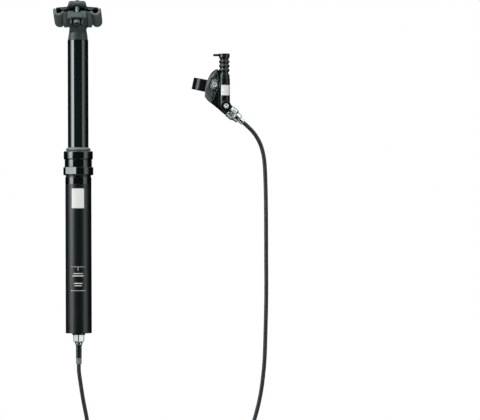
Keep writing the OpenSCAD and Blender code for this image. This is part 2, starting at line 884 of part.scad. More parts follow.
// The corners that a rounded nose leaves at one end of the upper clamp
module nose_corners(end) {
    clamp_frame() difference() {
        translate([-40, end > 0 ? nut_at[0] + nose_reach : -40 - nut_at[0] - nose_reach, -1])
            cube([80, 40, 40]);
        translate([0, end * (nut_at[0] + nose_reach), nut_at[1]]) rotate([0, 90, 0])
            cylinder(r = nose_r, h = 100, center = true);
    }
}

// The fan that a clamp bolt sweeps as it rocks about its nut
module bolt_fan(end) {
    reach = 3 * nose_r;
    wide = slot_half_w + reach * tan(bolt_swing);
    clamp_frame() translate([0, end * nut_at[0], nut_at[1]]) rotate([end * bolt_splay, 0, 0])
        rotate([90, 0, 90]) linear_extrude(height = 2 * slot_half_w, center = true) polygon([
            [-wide, -reach], [wide, -reach], [slot_half_w, 0], [wide, reach], [-wide, reach],
            [-slot_half_w, 0]
        ]);
}

module upper_clamp() {
    arm_end = lip_in - free_gap;
    dome_end = nut_at[0] + nose_reach + nose_r;
    half = concat([
        [0, dome_top], [dome_flat_w, dome_top], [dome_half_w, dome_top - 1.4], arm_root, arm_mid,
        [arm_end, arm_end_h], [arm_end, jaw_gap], [rail_x - rail_r - 2, jaw_gap]
    ], arch_in, [[0, dome_under]]);
    color("#2c2e30") difference() {
        intersection() {
            clamp_frame() rotate([90, 0, 0]) linear_extrude(height = 2 * dome_end, center = true)
                polygon(concat(half, [for (i = [len(half) - 2 : -1 : 1]) [-half[i][0], half[i][1]]]));
            clamp_frame() union() {
                for (x = [-1, 1]) for (y = [-1, 1])
                    translate([x * (arm_root[0] - dome_corner), y * (dome_end - dome_corner), 0])
                        cylinder(r = dome_corner, h = 30);
                translate([-arm_root[0], dome_corner - dome_end, 0])
                    cube([2 * arm_root[0], 2 * (dome_end - dome_corner), 30]);
                translate([dome_corner - arm_root[0], -dome_end, 0])
                    cube([2 * (arm_root[0] - dome_corner), 2 * dome_end, 30]);
                translate([-40, 2 - jaw_len / 2, 0]) cube([80, jaw_len - 4, 30]);
            }
        }
        rail_grooves();
        for (end = [-1, 1]) {
            clamp_cross_bar([end * nut_at[0], nut_at[1]], nut_r + run_gap, arm_mid[0]);
            nose_corners(end);
            bolt_fan(end);
        }
    }
}

// Barrel nut, cross drilled along its bolt
module barrel_nut(end) {
    color("#c4c7c9") difference() {
        clamp_cross_bar([end * nut_at[0], nut_at[1]], nut_r, nut_half_len);
        bolt_frame(end) cylinder(r = bolt_r + bolt_nut_gap, h = 2 * bolt_pivot_down);
    }
}

module rear_nut() {
    barrel_nut(-1);
}

module front_nut() {
    barrel_nut(1);
}

module clamp_screw(end) {
    color("#b9bcbe") bolt_frame(end) difference() {
        union() {
            bar(bolt_r, 0, bolt_pivot_down + bolt_tip);
            bar(bolt_head_r, -4, 1.5);
        }
        translate([0, 0, -4]) mirror([0, 0, 1]) hex_socket(4, 2.6);
    }
}

module rear_bolt() {
    clamp_screw(-1);
}

module front_bolt() {
    clamp_screw(1);
}

// Dished washer that rocks in the ear's seat
module rocking_washer(end) {
    color("#8f9498") bolt_frame(end) difference() {
        intersection() {
            sphere(r = seat_r);
            bar(bolt_head_r + 0.3, 1.5, seat_r + 1);
        }
        bar(bolt_r + seat_gap, 0, seat_r + 2);
    }
}

module rear_washer() {
    rocking_washer(-1);
}

module front_washer() {
    rocking_washer(1);
}

// Remote

// Wing that carries the bar clamp: a plate with a low crest towards the rider
module remote_wing() {
    outline = [
        [-9.3, 23.4], [-12.6, 21.6], [-16, 18.4], [-19.2, 13], [-21, 8], [-23.1, -2.4], [-23.9, -10],
        [-20.2, -14.9], [-15.5, -18.8], [-8.4, -23.2], [-3.8, -28.2], [0, -27], [0, 18]
    ];
    hull() {
        translate([0, 8, 0]) rotate([90, 0, 0]) linear_extrude(height = 4) polygon(outline);
        for (p = wing_crest) translate(p) sphere(r = 1, $fn = 16);
    }
}

module remote_body() {
    color("#0e0f10") difference() {
        union() {
            remote_frame() bar(barrel_r, barrel_foot, barrel_top);
            remote_frame() translate([0, 0, barrel_foot]) sphere(r = barrel_r);
            remote_frame() remote_wing();
            adjuster_frame() bar(adjuster_d / 2 - 0.6, -9, -free_gap);
            remote_frame() translate([bleed_boss_at[0], 0, bleed_boss_at[1]]) rotate([90, 0, 0])
                cylinder(r = bleed_boss_r, h = -bleed_boss_y);
            bar_frame() {
                intersection() {
                    ring(bar_r + bar_wall, bar_r, -bar_clamp_w / 2, bar_clamp_w / 2);
                    bar_sector(145, 355, 40, 100);
                }
                translate([-5, -15.4, -bar_clamp_w / 2]) cube([16, 5, bar_clamp_w]);
                translate([bar_r - 1, -bar_r - 2, -bar_clamp_w / 2])
                    cube([bar_bolt_x + 3.4 - bar_r + 1, bar_r + 2 - bar_split, bar_clamp_w]);
                for (s = [-1, 1]) rotate(hinge_angle)
                    translate([hinge_out, 0, s * (bar_clamp_w + knuckle_w) / 4 + s * free_gap / 2])
                        cylinder(r = knuckle_r, h = (bar_clamp_w - knuckle_w) / 2 - free_gap, center = true);
            }
        }
        remote_frame() bar(master_r, master_foot, barrel_top + 1);
        remote_frame() bar(boot_ring_r + free_gap, barrel_top, barrel_top + 40);
        adjuster_frame() bar(nipple_r + seat_gap, -4, 5);
        remote_frame() translate([bleed_boss_at[0], bleed_boss_y - 1, bleed_boss_at[1]]) rotate([-90, 0, 0])
            cylinder(r = 3.1, h = 4);
        remote_frame() translate([0, window_floor, 0]) rotate([90, 0, 0]) linear_extrude(height = 20)
            polygon(window);
        bar_frame() {
            bar(bar_r, -60, 60);
            bar_bolt_hole(bar_bolt_r + seat_gap);
            translate([bar_bolt_x, window_floor - bar_at[1], bar_bolt_z]) rotate([90, 0, 0])
                cylinder(r = bar_bolt_head_r + free_gap, h = 20);
            rotate(hinge_angle) translate([hinge_out, 0, -20]) cylinder(r = hinge_r + seat_gap, h = 40);
            rotate(hinge_angle) translate([hinge_out, 0, 0])
                cylinder(r = knuckle_r + free_gap, h = knuckle_w + 2 * free_gap, center = true);
        }
    }
}

// An outline drawn in towards its middle
function shrunk(points, by) =
    let (middle = [for (p = points) 1] * points / len(points))
    [for (p = points) p - by * unit(p - middle)];

module clamp_plate() {
    color("#9aa0a4") difference() {
        remote_frame() translate([0, window_floor, 0]) rotate([90, 0, 0]) linear_extrude(height = plate_t)
            polygon(shrunk(window, plate_gap));
        bar_frame() bar_bolt_hole(bar_bolt_r + seat_gap);
    }
}

module clamp_bolt() {
    head_y = window_floor - plate_t - bar_at[1];
    color("#c4c7c9") bar_frame() translate([bar_bolt_x, 0, bar_bolt_z]) rotate([-90, 0, 0]) difference() {
        union() {
            bar(bar_bolt_head_r, head_y - bar_bolt_head_h, head_y);
            bar(bar_bolt_r, head_y - 1, 8.6);
        }
        translate([0, 0, head_y - bar_bolt_head_h]) mirror([0, 0, 1]) hex_socket(3, 2);
    }
}

module clamp_band() {
    color("#121314") bar_frame() difference() {
        union() {
            intersection() {
                ring(bar_r + bar_wall, bar_r, -bar_clamp_w / 2, bar_clamp_w / 2);
                bar_sector(5, 128, 40, 100);
            }
            translate([bar_r - 1, bar_split, -bar_clamp_w / 2])
                cube([bar_bolt_x + 5 - bar_r + 1, 7, bar_clamp_w]);
            intersection() {
                ring(bar_r + bar_wall, bar_r, -knuckle_w / 2, knuckle_w / 2);
                bar_sector(120, hinge_angle, 40, 100);
            }
            rotate(hinge_angle) translate([hinge_out, 0, 0])
                cylinder(r = knuckle_r, h = knuckle_w, center = true);
        }
        bar(bar_r, -60, 60);
        rotate(hinge_angle) translate([hinge_out, 0, -20]) cylinder(r = hinge_r + run_gap, h = 40);
        bar_bolt_hole(band_ear_hole);
    }
}

module hinge_pin() {
    color("#9aa0a4") bar_frame() rotate(hinge_angle) translate([hinge_out, 0, 0])
        cylinder(r = hinge_r, h = bar_clamp_w, center = true);
}

module boot_ring() {
    color("#151617") remote_frame()
        chamfered_ring(boot_ring_r, plunger_r + run_gap, barrel_top, bellows_z, 0.3, 0.6);
}

// Pleated boot between the boot ring and the button
module bellows_boot() {
    neck = 2;
    pitch = (bellows_len - 2 * neck) / pleats;
    low = bellows_z + neck;
    outside = concat([[pleat_in, bellows_z], [pleat_in, low]],
        [for (i = [0 : pleats - 1]) for (p = [[pleat_out, 0.5], [pleat_in, 1]])
            [p[0], low + (i + p[1]) * pitch]],
        [[pleat_in + 0.6, bellows_z + bellows_len]]);
    inside = [for (i = [len(outside) - 1 : -1 : 0]) [outside[i][0] - pleat_wall, outside[i][1]]];
    color("#1a1b1c") remote_frame() rotate_extrude() polygon(concat(outside, inside));
}

module return_spring() {
    color("#8f9498") remote_frame()
        ring(master_r - 0.6, master_r - 1.8, master_foot + 0.1, master_z - 0.1);
}

module button_cap() {
    color("#1c1d1e") remote_frame() {
        bar(button_d / 2, button_z, button_z + button_h);
        translate([-button_d / 2 - lip_reach, -button_d / 2 + 1.6, button_z + button_h - 3])
            cube([button_d / 2 + lip_reach, button_d - 3.2, 2.4]);
    }
}

module plunger_rod() {
    color("#b9bcbe") remote_frame() bar(plunger_r, master_z + master_h, button_z);
}

module master_piston() {
    color("#8d9195") remote_frame() difference() {
        bar(master_r - run_gap, master_z, master_z + master_h);
        ring(master_r, master_r - slide_gap - master_seal_d - seat_gap, master_z + 2, master_z + 4);
    }
}

module master_seal() {
    color("#0c0c0d") remote_frame() o_ring(master_r - slide_gap, master_seal_d, master_z + 3);
}

module speed_adjuster() {
    out = adjuster_d / 2;
    color("#d4d6d8") adjuster_frame() difference() {
        rotate_extrude() polygon([
            [nipple_r + run_gap, 0], [out - 0.6, 0], [out, 0.6], [out, adjuster_len * 0.5],
            [out - 1.6, adjuster_len * 0.62], [out - 2.1, adjuster_len - 0.6], [out - 2.7, adjuster_len],
            [nipple_r + run_gap, adjuster_len]
        ]);
        for (i = [0 : flutes - 1]) rotate(360 * i / flutes) translate([out + 0.3, 0, adjuster_len * 0.12])
            cylinder(r = 1.1, h = adjuster_len * 0.36);
    }
}

module hose_nipple() {
    color("#c4c7c9") adjuster_frame() bar(nipple_r, -4, adjuster_len + free_gap);
}

module hose_ferrule() {
    color("#d8dadc") adjuster_frame()
        chamfered_ring(ferrule_r, 1, adjuster_len + free_gap, ferrule_out, 0.3, 0.5);
}

module remote_bleed_screw() {
    color("#d8dadc") remote_frame() translate([bleed_boss_at[0], bleed_boss_y + 3, bleed_boss_at[1]])
        rotate([90, 0, 0]) difference() {
            bar(3.08, 0, 2.6);
            translate([0, 0, 2.6]) hex_socket(2.5, 1.6);
        }
}

lower_tube();
collar_nut();
seal_housing();
seal_cap();
wiper_seal();
foam_ring();
upper_bushing();
anti_rotation_keys();
foot_cap();
foot_o_ring();
retaining_ring();
foot_screws();
damper_rod();
main_piston();
piston_seal();
poppet_valve();
poppet_spring();
hose_fitting();
post_bleed_screw();
strain_relief();
hose_sleeve();
hose_post_run();
hose_coil();
hose_tie();
hose_remote_run();
upper_tube();
lower_bushing();
rod_guide();
top_out_bumper();
seat_head();
air_valve();
valve_core();
valve_cap();
floating_piston();
floating_seal();
lower_cradle();
upper_clamp();
rear_nut();
front_nut();
rear_bolt();
front_bolt();
rear_washer();
front_washer();
remote_body();
boot_ring();
bellows_boot();
return_spring();
button_cap();
plunger_rod();
master_piston();
master_seal();
speed_adjuster();
hose_nipple();
hose_ferrule();
remote_bleed_screw();
clamp_band();
hinge_pin();
clamp_bolt();
clamp_plate();
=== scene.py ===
"""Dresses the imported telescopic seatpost, its remote and its hose for a studio picture.

Meshes are in metres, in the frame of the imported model: +Z up the post, +Y towards the front of the
bicycle, and the origin on the post axis at the top of the clamped wall. Sizes that a sub-assembly
names are in millimetres.
"""
import logging
import math
from dataclasses import dataclass
from enum import Enum

import bmesh
import bpy
from mathutils import Matrix, Vector
from mathutils.bvhtree import BVHTree


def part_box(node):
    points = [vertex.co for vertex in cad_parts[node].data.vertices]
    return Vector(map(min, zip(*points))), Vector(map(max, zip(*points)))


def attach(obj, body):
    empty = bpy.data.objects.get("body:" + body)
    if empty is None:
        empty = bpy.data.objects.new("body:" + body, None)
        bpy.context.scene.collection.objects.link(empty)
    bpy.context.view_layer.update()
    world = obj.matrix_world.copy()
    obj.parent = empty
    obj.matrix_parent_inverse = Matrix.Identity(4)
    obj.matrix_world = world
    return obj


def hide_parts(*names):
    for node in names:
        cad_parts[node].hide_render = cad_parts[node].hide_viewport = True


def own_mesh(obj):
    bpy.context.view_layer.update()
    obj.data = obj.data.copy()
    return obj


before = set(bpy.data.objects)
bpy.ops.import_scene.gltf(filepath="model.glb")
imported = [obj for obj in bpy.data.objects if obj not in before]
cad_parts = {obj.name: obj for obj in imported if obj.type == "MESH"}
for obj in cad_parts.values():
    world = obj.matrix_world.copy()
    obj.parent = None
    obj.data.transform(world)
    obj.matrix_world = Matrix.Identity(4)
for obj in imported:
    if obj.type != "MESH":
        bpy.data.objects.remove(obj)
LOG = logging.getLogger("seatpost")
MM = 0.001
SPUN_WELD = 1e-7
CAD_WELD = 2e-6
CAD_FLAT = math.radians(1.0)
CAD_SHARP = math.radians(28.0)
UP = Vector((0.0, 0.0, 1.0))
WHITE = (1.0, 1.0, 1.0, 1.0)
Triple = tuple[float, float, float]
Pair = tuple[float, float]
Profile = list[Pair]


def evenly(value: float) -> Triple:
    """Gives one value for all three axes or colours."""
    return (value, value, value)


class Term:
    """A shader socket that takes part in Python expressions."""

    def __init__(self, graph: "Graph", socket: bpy.types.NodeSocket) -> None:
        """Wraps one output socket of a graph."""
        self.graph = graph
        self.socket = socket

    def _math(self, operation: str, first: "Term | float", second: "Term | float") -> "Term":
        """Adds one Math node.

        Args:
            operation: the Math node's operation.
            first: its first value.
            second: its second value.

        Returns:
            The node's result.
        """
        return self.graph.node("ShaderNodeMath", {"operation": operation}, {0: first, 1: second})

    def __add__(self, other: "Term | float") -> "Term":
        """Adds a value."""
        return self._math("ADD", self, other)

    def __rsub__(self, other: "Term | float") -> "Term":
        """Is taken away from a value."""
        return self._math("SUBTRACT", other, self)

    def __mul__(self, other: "Term | float") -> "Term":
        """Multiplies by a value."""
        return self._math("MULTIPLY", self, other)


class Graph:
    """The node tree of one material, or of the world."""

    def __init__(self, owner: bpy.types.Material | bpy.types.World) -> None:
        """Empties the node tree of a material or world."""
        self.owner = owner
        owner.use_nodes = True
        self.tree = owner.node_tree
        self.tree.nodes.clear()

    def node(self, kind: str, settings: dict | None = None, sockets: dict | None = None,
             out: int | str = 0) -> Term:
        """Adds one node.

        Args:
            kind: the node's type.
            settings: attributes to set first.
            sockets: values or links for its inputs, by name or number.
            out: the output to return.

        Returns:
            That output, ready for expressions.
        """
        made = self.tree.nodes.new(kind)
        for key, value in (settings or {}).items():
            setattr(made, key, value)
        for key, value in (sockets or {}).items():
            if isinstance(value, Term):
                self.tree.links.new(value.socket, made.inputs[key])
            else:
                made.inputs[key].default_value = value
        return Term(self, made.outputs[out])

    def place(self, scale: Triple = evenly(1.0), turn: Triple = evenly(0.0)) -> Term:
        """Gives Object coordinates, turned and stretched.

        Args:
            scale: the stretch along each axis.
            turn: the turn about each axis, in radians.

        Returns:
            The mapped coordinates.
        """
        here = self.node("ShaderNodeTexCoord", out="Object")
        return self.node("ShaderNodeMapping", None,
                         {"Vector": here, "Rotation": turn, "Scale": scale})

    def noise(self, scale: Triple, detail: float = 3.0) -> Term:
        """Gives a noise value between 0 and 1, with so many grains a metre along each axis."""
        return self.node("ShaderNodeTexNoise", None,
                         {"Vector": self.place(scale), "Scale": 1.0, "Detail": detail})

    def blend(self, amount: Term, low: Triple, high: Triple) -> Term:
        """Mixes two colours by an amount between 0 and 1."""
        return self.node("ShaderNodeMix", {"data_type": "RGBA"},
                         {0: amount, 6: (*low, 1.0), 7: (*high, 1.0)}, out=2)

    def bump(self, height: Term, strength: float, distance: float) -> Term:
        """Turns a height into a normal."""
        return self.node("ShaderNodeBump", None,
                         {"Height": height, "Strength": strength, "Distance": distance})

    def ramp(self, value: Term, low: float, high: float) -> Term:
        """Rises smoothly from 0 to 1 between two values."""
        return self.node("ShaderNodeMapRange", {"interpolation_type": "SMOOTHSTEP"},
                         {"Value": value, "From Min": low, "From Max": high})

    def surface(self, shader: Term) -> bpy.types.Material | bpy.types.World:
        """Links a shader to the output and gives the owner of the tree."""
        kind = "World" if isinstance(self.owner, bpy.types.World) else "Material"
        output = self.tree.nodes.new(f"ShaderNodeOutput{kind}")
        self.tree.links.new(shader.socket, output.inputs["Surface"])
        return self.owner


@dataclass(frozen=True)
class Finish:
    """A surface with a fine grain.

    Attributes:
        name: the material's name.
        colour: its base colour.
        roughness: its middle roughness.
        metallic: 1 for bare metal.
        grain: how many grains a metre holds, along each axis.
        depth: the height of the grain, in metres.
        vary: how much the roughness changes over the surface.
        shade: how much the colour changes over the surface.
        ior: the index of refraction.
        drift: how many changes of colour a metre holds.
        relief: the strength of the grain's bump.
    """

    name: str
    colour: Triple
    roughness: float
    metallic: float = 0.0
    grain: Triple = evenly(900.0)
    depth: float = 4e-6
    vary: float = 0.06
    shade: float = 0.2
    ior: float = 1.5
    drift: float = 60.0
    relief: float = 0.6

    def height(self, graph: Graph) -> Term:
        """Gives the grain's height, between 0 and 1."""
        return graph.noise(self.grain, 2.0)

    def tint(self, graph: Graph) -> Term:
        """Gives the base colour, which drifts a little over the surface."""
        drift = graph.noise(evenly(self.drift))
        low = tuple(c * (1.0 - self.shade) for c in self.colour)
        high = tuple(min(c * (1.0 + self.shade), 1.0) for c in self.colour)
        return graph.blend(drift, low, high)

    def material(self) -> bpy.types.Material:
        """Makes the material, or gives the one already made.

        Returns:
            The material of this finish.
        """
        known = bpy.data.materials.get(self.name)
        if known:
            return known
        graph = Graph(bpy.data.materials.new(self.name))
        height = self.height(graph)
        rough = height * (2.0 * self.vary) + (self.roughness - self.vary)
        shader = graph.node("ShaderNodeBsdfPrincipled", None, {
            "Base Color": self.tint(graph), "Roughness": rough, "Metallic": self.metallic,
            "IOR": self.ior, "Normal": graph.bump(height, self.relief, self.depth)})
        return graph.surface(shader)


@dataclass(frozen=True)
class Turned(Finish):
    """Metal from a lathe, with fine rings along one direction.

    Attributes:
        turn: the turn that lays the rings across the piece's axis.
        rings: the scale of the rings.
        waver: how far the rings waver.
        share: the share of the height that the rings have.
    """

    turn: Triple = evenly(0.0)
    rings: float = 260.0
    waver: float = 0.6
    share: float = 0.5

    def height(self, graph: Graph) -> Term:
        """Gives the rings' height, broken up by a little noise."""
        rings = graph.node("ShaderNodeTexWave", {"bands_direction": "Z"},
                           {"Vector": graph.place(turn=self.turn), "Scale": self.rings,
                            "Distortion": self.waver, "Detail": 1.0}, out="Fac")
        return rings * self.share + super().height(graph) * (1.0 - self.share)


@dataclass(frozen=True)
class Print(Finish):
    """A printed label: a plain white field without words.

    Attributes:
        mottle: how many spots a metre of ink holds.
        thin: the share of the colour where the ink is thin.
    """

    mottle: float = 1500.0
    thin: float = 0.96

    def tint(self, graph: Graph) -> Term:
        """Gives a near white with the faint mottle of screen ink."""
        mottle = graph.noise(evenly(self.mottle), 1.0)
        return graph.blend(mottle, tuple(c * self.thin for c in self.colour), self.colour)


class Kit(Enum):
    """The finishes of the post, its remote and its hose."""

    TUBE_GLOSS = Finish("tube_gloss_black", (0.0042, 0.0074, 0.0076), roughness=0.1,
                        grain=(1400.0, 1400.0, 40.0), depth=1e-6, vary=0.02)
    TUBE_SATIN = Finish("tube_satin_black", (0.0011, 0.0021, 0.0024), roughness=0.36,
                        grain=evenly(1100.0), depth=2e-6, vary=0.04, ior=1.42)
    COLLAR = Finish("collar_gloss_black", (0.0024, 0.0038, 0.0040), roughness=0.13,
                    grain=(1200.0, 1200.0, 300.0), depth=1e-6, vary=0.03)
    FORGED = Finish("forged_dark_grey", (0.024, 0.032, 0.033), roughness=0.52, grain=evenly(700.0),
                    depth=6e-6, ior=1.42)
    # The forged grey again, made lighter for the lower cradle: the extra lightness is painted light
    # on the jaws' faces.
    FORGED_PAINTED_LIGHT = Finish("forged_grey_painted_light", (0.068, 0.082, 0.081), roughness=0.52, grain=evenly(700.0),
                    depth=6e-6, ior=1.42)
    REMOTE = Finish("remote_gloss_black", (0.0036, 0.0054, 0.0056), roughness=0.2, depth=2e-6,
                    vary=0.04, ior=1.28)
    BAND = Finish("band_satin_black", (0.010, 0.0135, 0.0140), roughness=0.42, depth=3e-6, ior=1.3)
    FITTING = Turned("fitting_silver", (0.34, 0.345, 0.35), roughness=0.16, metallic=0.9,
                     grain=evenly(1500.0), depth=2e-6, shade=0.06)
    SILVER = Turned("socket_silver", (0.8, 0.805, 0.81), roughness=0.3, metallic=0.6,
                    grain=evenly(1500.0), depth=2e-6, shade=0.06,
                    turn=(math.radians(90.0), 0.0, 0.0))
    ADJUSTER = Turned("adjuster_silver", (0.5, 0.505, 0.51), roughness=0.3, metallic=1.0,
                      grain=evenly(1500.0), depth=2e-6, shade=0.06,
                      turn=(0.0, math.radians(50.0), 0.0))
    BOLT = Turned("dark_bolt_steel", (0.05, 0.055, 0.056), roughness=0.3, grain=evenly(1500.0),
                  depth=2e-6, shade=0.1)
    STEEL = Turned("drawn_steel", (0.5, 0.51, 0.52), roughness=0.26, metallic=1.0,
                   grain=(1500.0, 1500.0, 300.0), depth=3e-6, shade=0.1)
    ALLOY = Turned("turned_alloy", (0.6, 0.61, 0.62), roughness=0.3, metallic=1.0,
                   grain=evenly(1200.0), shade=0.1)
    PLATE = Finish("grey_plate", (0.24, 0.25, 0.25), roughness=0.45, metallic=0.3,
                   grain=(2400.0, 900.0, 90.0), vary=0.08, shade=0.15)
    BRASS = Turned("turned_brass", (0.62, 0.43, 0.14), roughness=0.28, metallic=1.0,
                   grain=evenly(1200.0), shade=0.12)
    SEAL = Finish("ring_rubber", (0.008, 0.0095, 0.0100), roughness=0.5, grain=evenly(1300.0),
                  vary=0.08, shade=0.25)
    WIPER = Finish("wiper_grey", (0.085, 0.092, 0.092), roughness=0.5, grain=evenly(1300.0),
                   vary=0.08)
    BOOT = Finish("pleat_rubber", (0.004, 0.0055, 0.006), roughness=0.3, grain=evenly(1000.0),
                  depth=3e-6, shade=0.25, ior=1.38)
    FOAM = Finish("oiled_foam", (0.045, 0.045, 0.043), roughness=0.85, grain=evenly(1600.0),
                  depth=8e-5, vary=0.08, shade=0.5)
    HOSE = Finish("hose_jacket", (0.009, 0.0115, 0.0120), roughness=0.42, grain=evenly(150.0),
                  depth=1e-6, vary=0.01, shade=0.05, ior=1.4)
    SLEEVE = Finish("shrink_sleeve", (0.12, 0.13, 0.132), roughness=0.45,
                    grain=(900.0, 900.0, 300.0), vary=0.08)
    PLASTIC = Finish("black_plastic", (0.010, 0.0115, 0.0120), roughness=0.45, grain=evenly(800.0),
                     depth=6e-6, vary=0.08, shade=0.25)
    LABEL = Print("white_label", (0.60, 0.605, 0.59), roughness=0.42, grain=evenly(1300.0),
                  depth=2e-6, vary=0.04, shade=0.0)

    def material(self) -> bpy.types.Material:
        """Gives the material of this finish."""
        return self.value.material()


def rounded(bm: bmesh.types.BMesh, geom: list, width: float, affect: str, segments: int) -> None:
    """Rounds some edges or corners of a mesh.

    Args:
        bm: the mesh.
        geom: its edges or corners.
        width: the size of the rounding, in millimetres.
        affect: EDGES or VERTICES.
        segments: faces across the rounding.
    """
    bmesh.ops.bevel(bm, geom=geom, offset=width * MM, offset_type="OFFSET", affect=affect,
                    segments=segments, profile=0.5, clamp_overlap=True, material=-1)


def lathe(profile: Profile, steps: int = 96) -> bmesh.types.BMesh:
    """Spins a closed profile about Z.

    Args:
        profile: radius and height of each point, in millimetres.
        steps: faces round the axis.

    Returns:
        The spun mesh, in metres.
    """
    bm = bmesh.new()
    verts = [bm.verts.new((r * MM, 0.0, z * MM)) for r, z in profile]
    edges = [bm.edges.new(pair) for pair in zip(verts, verts[1:] + verts[:1])]
    bmesh.ops.spin(bm, geom=verts + edges, axis=UP, cent=evenly(0.0), angle=2.0 * math.pi,
                   steps=steps, use_merge=True)
    bmesh.ops.remove_doubles(bm, verts=bm.verts[:], dist=SPUN_WELD)
    bmesh.ops.recalc_face_normals(bm, faces=bm.faces[:])
    return bm


def softened(node: str, width: float) -> bmesh.types.BMesh:
    """Copies a CAD node and rounds its sharp edges.

    Args:
        node: the CAD node.
        width: the size of the rounding, in millimetres.

    Returns:
        The rounded copy.
    """
    bm = bmesh.new()
    bm.from_mesh(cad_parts[node].data)
    bmesh.ops.remove_doubles(bm, verts=bm.verts[:], dist=CAD_WELD)
    bmesh.ops.dissolve_limit(bm, angle_limit=CAD_FLAT, verts=bm.verts[:], edges=bm.edges[:])
    sharp = [e for e in bm.edges if e.is_manifold and e.calc_face_angle(0.0) > CAD_SHARP]
    rounded(bm, sharp, width, "EDGES", 2)
    return bm


def melted(node: str, voxel: float, rounds: int) -> bmesh.types.BMesh:
    """Copies a CAD node and gives it the soft edges of a forging.

    Args:
        node: the CAD node.
        voxel: the grid of the copy, in millimetres.
        rounds: how often its points are smoothed.

    Returns:
        The soft copy.
    """
    source = bpy.data.objects.new("melt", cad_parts[node].data.copy())
    bpy.context.scene.collection.objects.link(source)
    grid = source.modifiers.new("grid", "REMESH")
    grid.mode = "VOXEL"
    grid.voxel_size = voxel * MM
    solid = source.evaluated_get(bpy.context.evaluated_depsgraph_get())
    bm = bmesh.new()
    bm.from_mesh(solid.to_mesh())
    bpy.data.objects.remove(source)
    for _ in range(rounds):
        bmesh.ops.smooth_vert(bm, verts=bm.verts[:], factor=0.5, use_axis_x=True, use_axis_y=True,
                              use_axis_z=True)
    return bm


def piece(name: str, bm: bmesh.types.BMesh, kit: Kit, body: str,
          nodes: tuple[str, ...] = (), crease: float = 32.0) -> bpy.types.Object:
    """Makes a finished object of a mesh.

    Args:
        name: the object's name.
        bm: its mesh, which is freed.
        kit: its finish.
        body: the CAD body that it rides.
        nodes: the CAD nodes that it stands for.
        crease: edges sharper than this stay sharp, in degrees.

    Returns:
        The object.
    """
    mesh = bpy.data.meshes.new(name)
    bm.to_mesh(mesh)
    bm.free()
    mesh.shade_smooth()
    mesh.set_sharp_from_angle(angle=math.radians(crease))
    mesh.materials.append(kit.material())
    made = bpy.data.objects.new(name, mesh)
    bpy.context.scene.collection.objects.link(made)
    even = made.modifiers.new("even", "WEIGHTED_NORMAL")
    even.keep_sharp = True
    solid = made.evaluated_get(bpy.context.evaluated_depsgraph_get())
    made.data = bpy.data.meshes.new_from_object(solid)
    made.modifiers.clear()
    bpy.data.meshes.remove(mesh)
    made.data.name = name
    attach(made, body)
    if nodes:
        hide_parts(*nodes)
    LOG.info("%s: %d faces on %s", name, len(made.data.polygons), body)
    return made


def recut(name: str, node: str, width: float, kit: Kit,
          body: str = "housing") -> bpy.types.Object:
    """Makes a piece of a CAD node with rounded edges.

    Args:
        name: the piece's name.
        node: the CAD node that it stands for.
        width: the size of the rounding, in millimetres.
        kit: its finish.
        body: the CAD body that it rides.

    Returns:
        The piece.
    """
    return piece(name, softened(node, width), kit, body, (node,))


def dress(kit: Kit, *nodes: str) -> None:
    """Gives CAD nodes a finish.

    Args:
        kit: the finish.
        nodes: the CAD nodes.
    """
    for node in nodes:
        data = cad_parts[node].data
        data.materials.clear()
        data.materials.append(kit.material())
        LOG.info("%s: %s", node, kit.name.lower())


def patch(radius: float, low: float, high: float, facing: float, half_angle: float, thick: float,
          steps: int = 20, corner: float = 0.7) -> bmesh.types.BMesh:
    """Makes a thin curved panel on a tube about Z; lengths are in millimetres.

    Args:
        radius: the tube's radius.
        low: the panel's lower edge.
        high: its upper edge.
        facing: the direction that its middle faces, in degrees from +X.
        half_angle: half the angle that it covers, in degrees.
        thick: its thickness.
        steps: faces across it.
        corner: the rounding of its corners.

    Returns:
        The panel.
    """
    bm = bmesh.new()
    start = math.radians(facing - half_angle)
    verts = [bm.verts.new((radius * MM * math.cos(start), radius * MM * math.sin(start), z * MM))
             for z in (low, high)]
    edge = bm.edges.new(verts)
    bmesh.ops.spin(bm, geom=verts + [edge], axis=UP, cent=evenly(0.0),
                   angle=math.radians(2.0 * half_angle), steps=steps, use_merge=False)
    bmesh.ops.recalc_face_normals(bm, faces=bm.faces[:])
    out = bm.faces[:][0]
    if out.normal.dot(out.calc_center_median() * Vector((1.0, 1.0, 0.0))) < 0.0:
        bmesh.ops.reverse_faces(bm, faces=bm.faces[:])
    corners = [v for v in bm.verts if len(v.link_edges) == 2]
    rounded(bm, corners, corner, "VERTICES", 4)
    bmesh.ops.solidify(bm, geom=bm.faces[:], thickness=-thick * MM)
    bmesh.ops.recalc_face_normals(bm, faces=bm.faces[:])
    return bm


def helix(radius: float, wire: float, low: float, high: float, turns: int) -> bmesh.types.BMesh:
    """Winds a wire spring about Z; lengths are in millimetres.

    Args:
        radius: the radius at the middle of the wire.
        wire: the wire's radius.
        low: the spring's lower end.
        high: its upper end.
        turns: how many turns it has.

    Returns:
        The spring.
    """
    steps_a_turn, wire_sides = 24, 8
    steps = steps_a_turn * turns
    rise = (high - low - 2.0 * wire) / steps
    bm = bmesh.new()
    bmesh.ops.create_circle(bm, segments=wire_sides, radius=wire * MM, cap_ends=True)
    start = Matrix.Translation((radius * MM, 0.0, (low + wire) * MM))
    moved(bm, start @ Matrix.Rotation(math.pi / 2, 4, "X"))
    bmesh.ops.spin(bm, geom=bm.verts[:] + bm.edges[:] + bm.faces[:], axis=UP, cent=evenly(0.0),
                   dvec=UP * rise * MM, angle=2.0 * math.pi * turns, steps=steps, use_merge=False)
    bmesh.ops.recalc_face_normals(bm, faces=bm.faces[:])
    return bm


def moved(bm: bmesh.types.BMesh, matrix: Matrix) -> bmesh.types.BMesh:
    """Moves a mesh to its place and gives it back."""
    bmesh.ops.transform(bm, matrix=matrix, verts=bm.verts[:])
    return bm


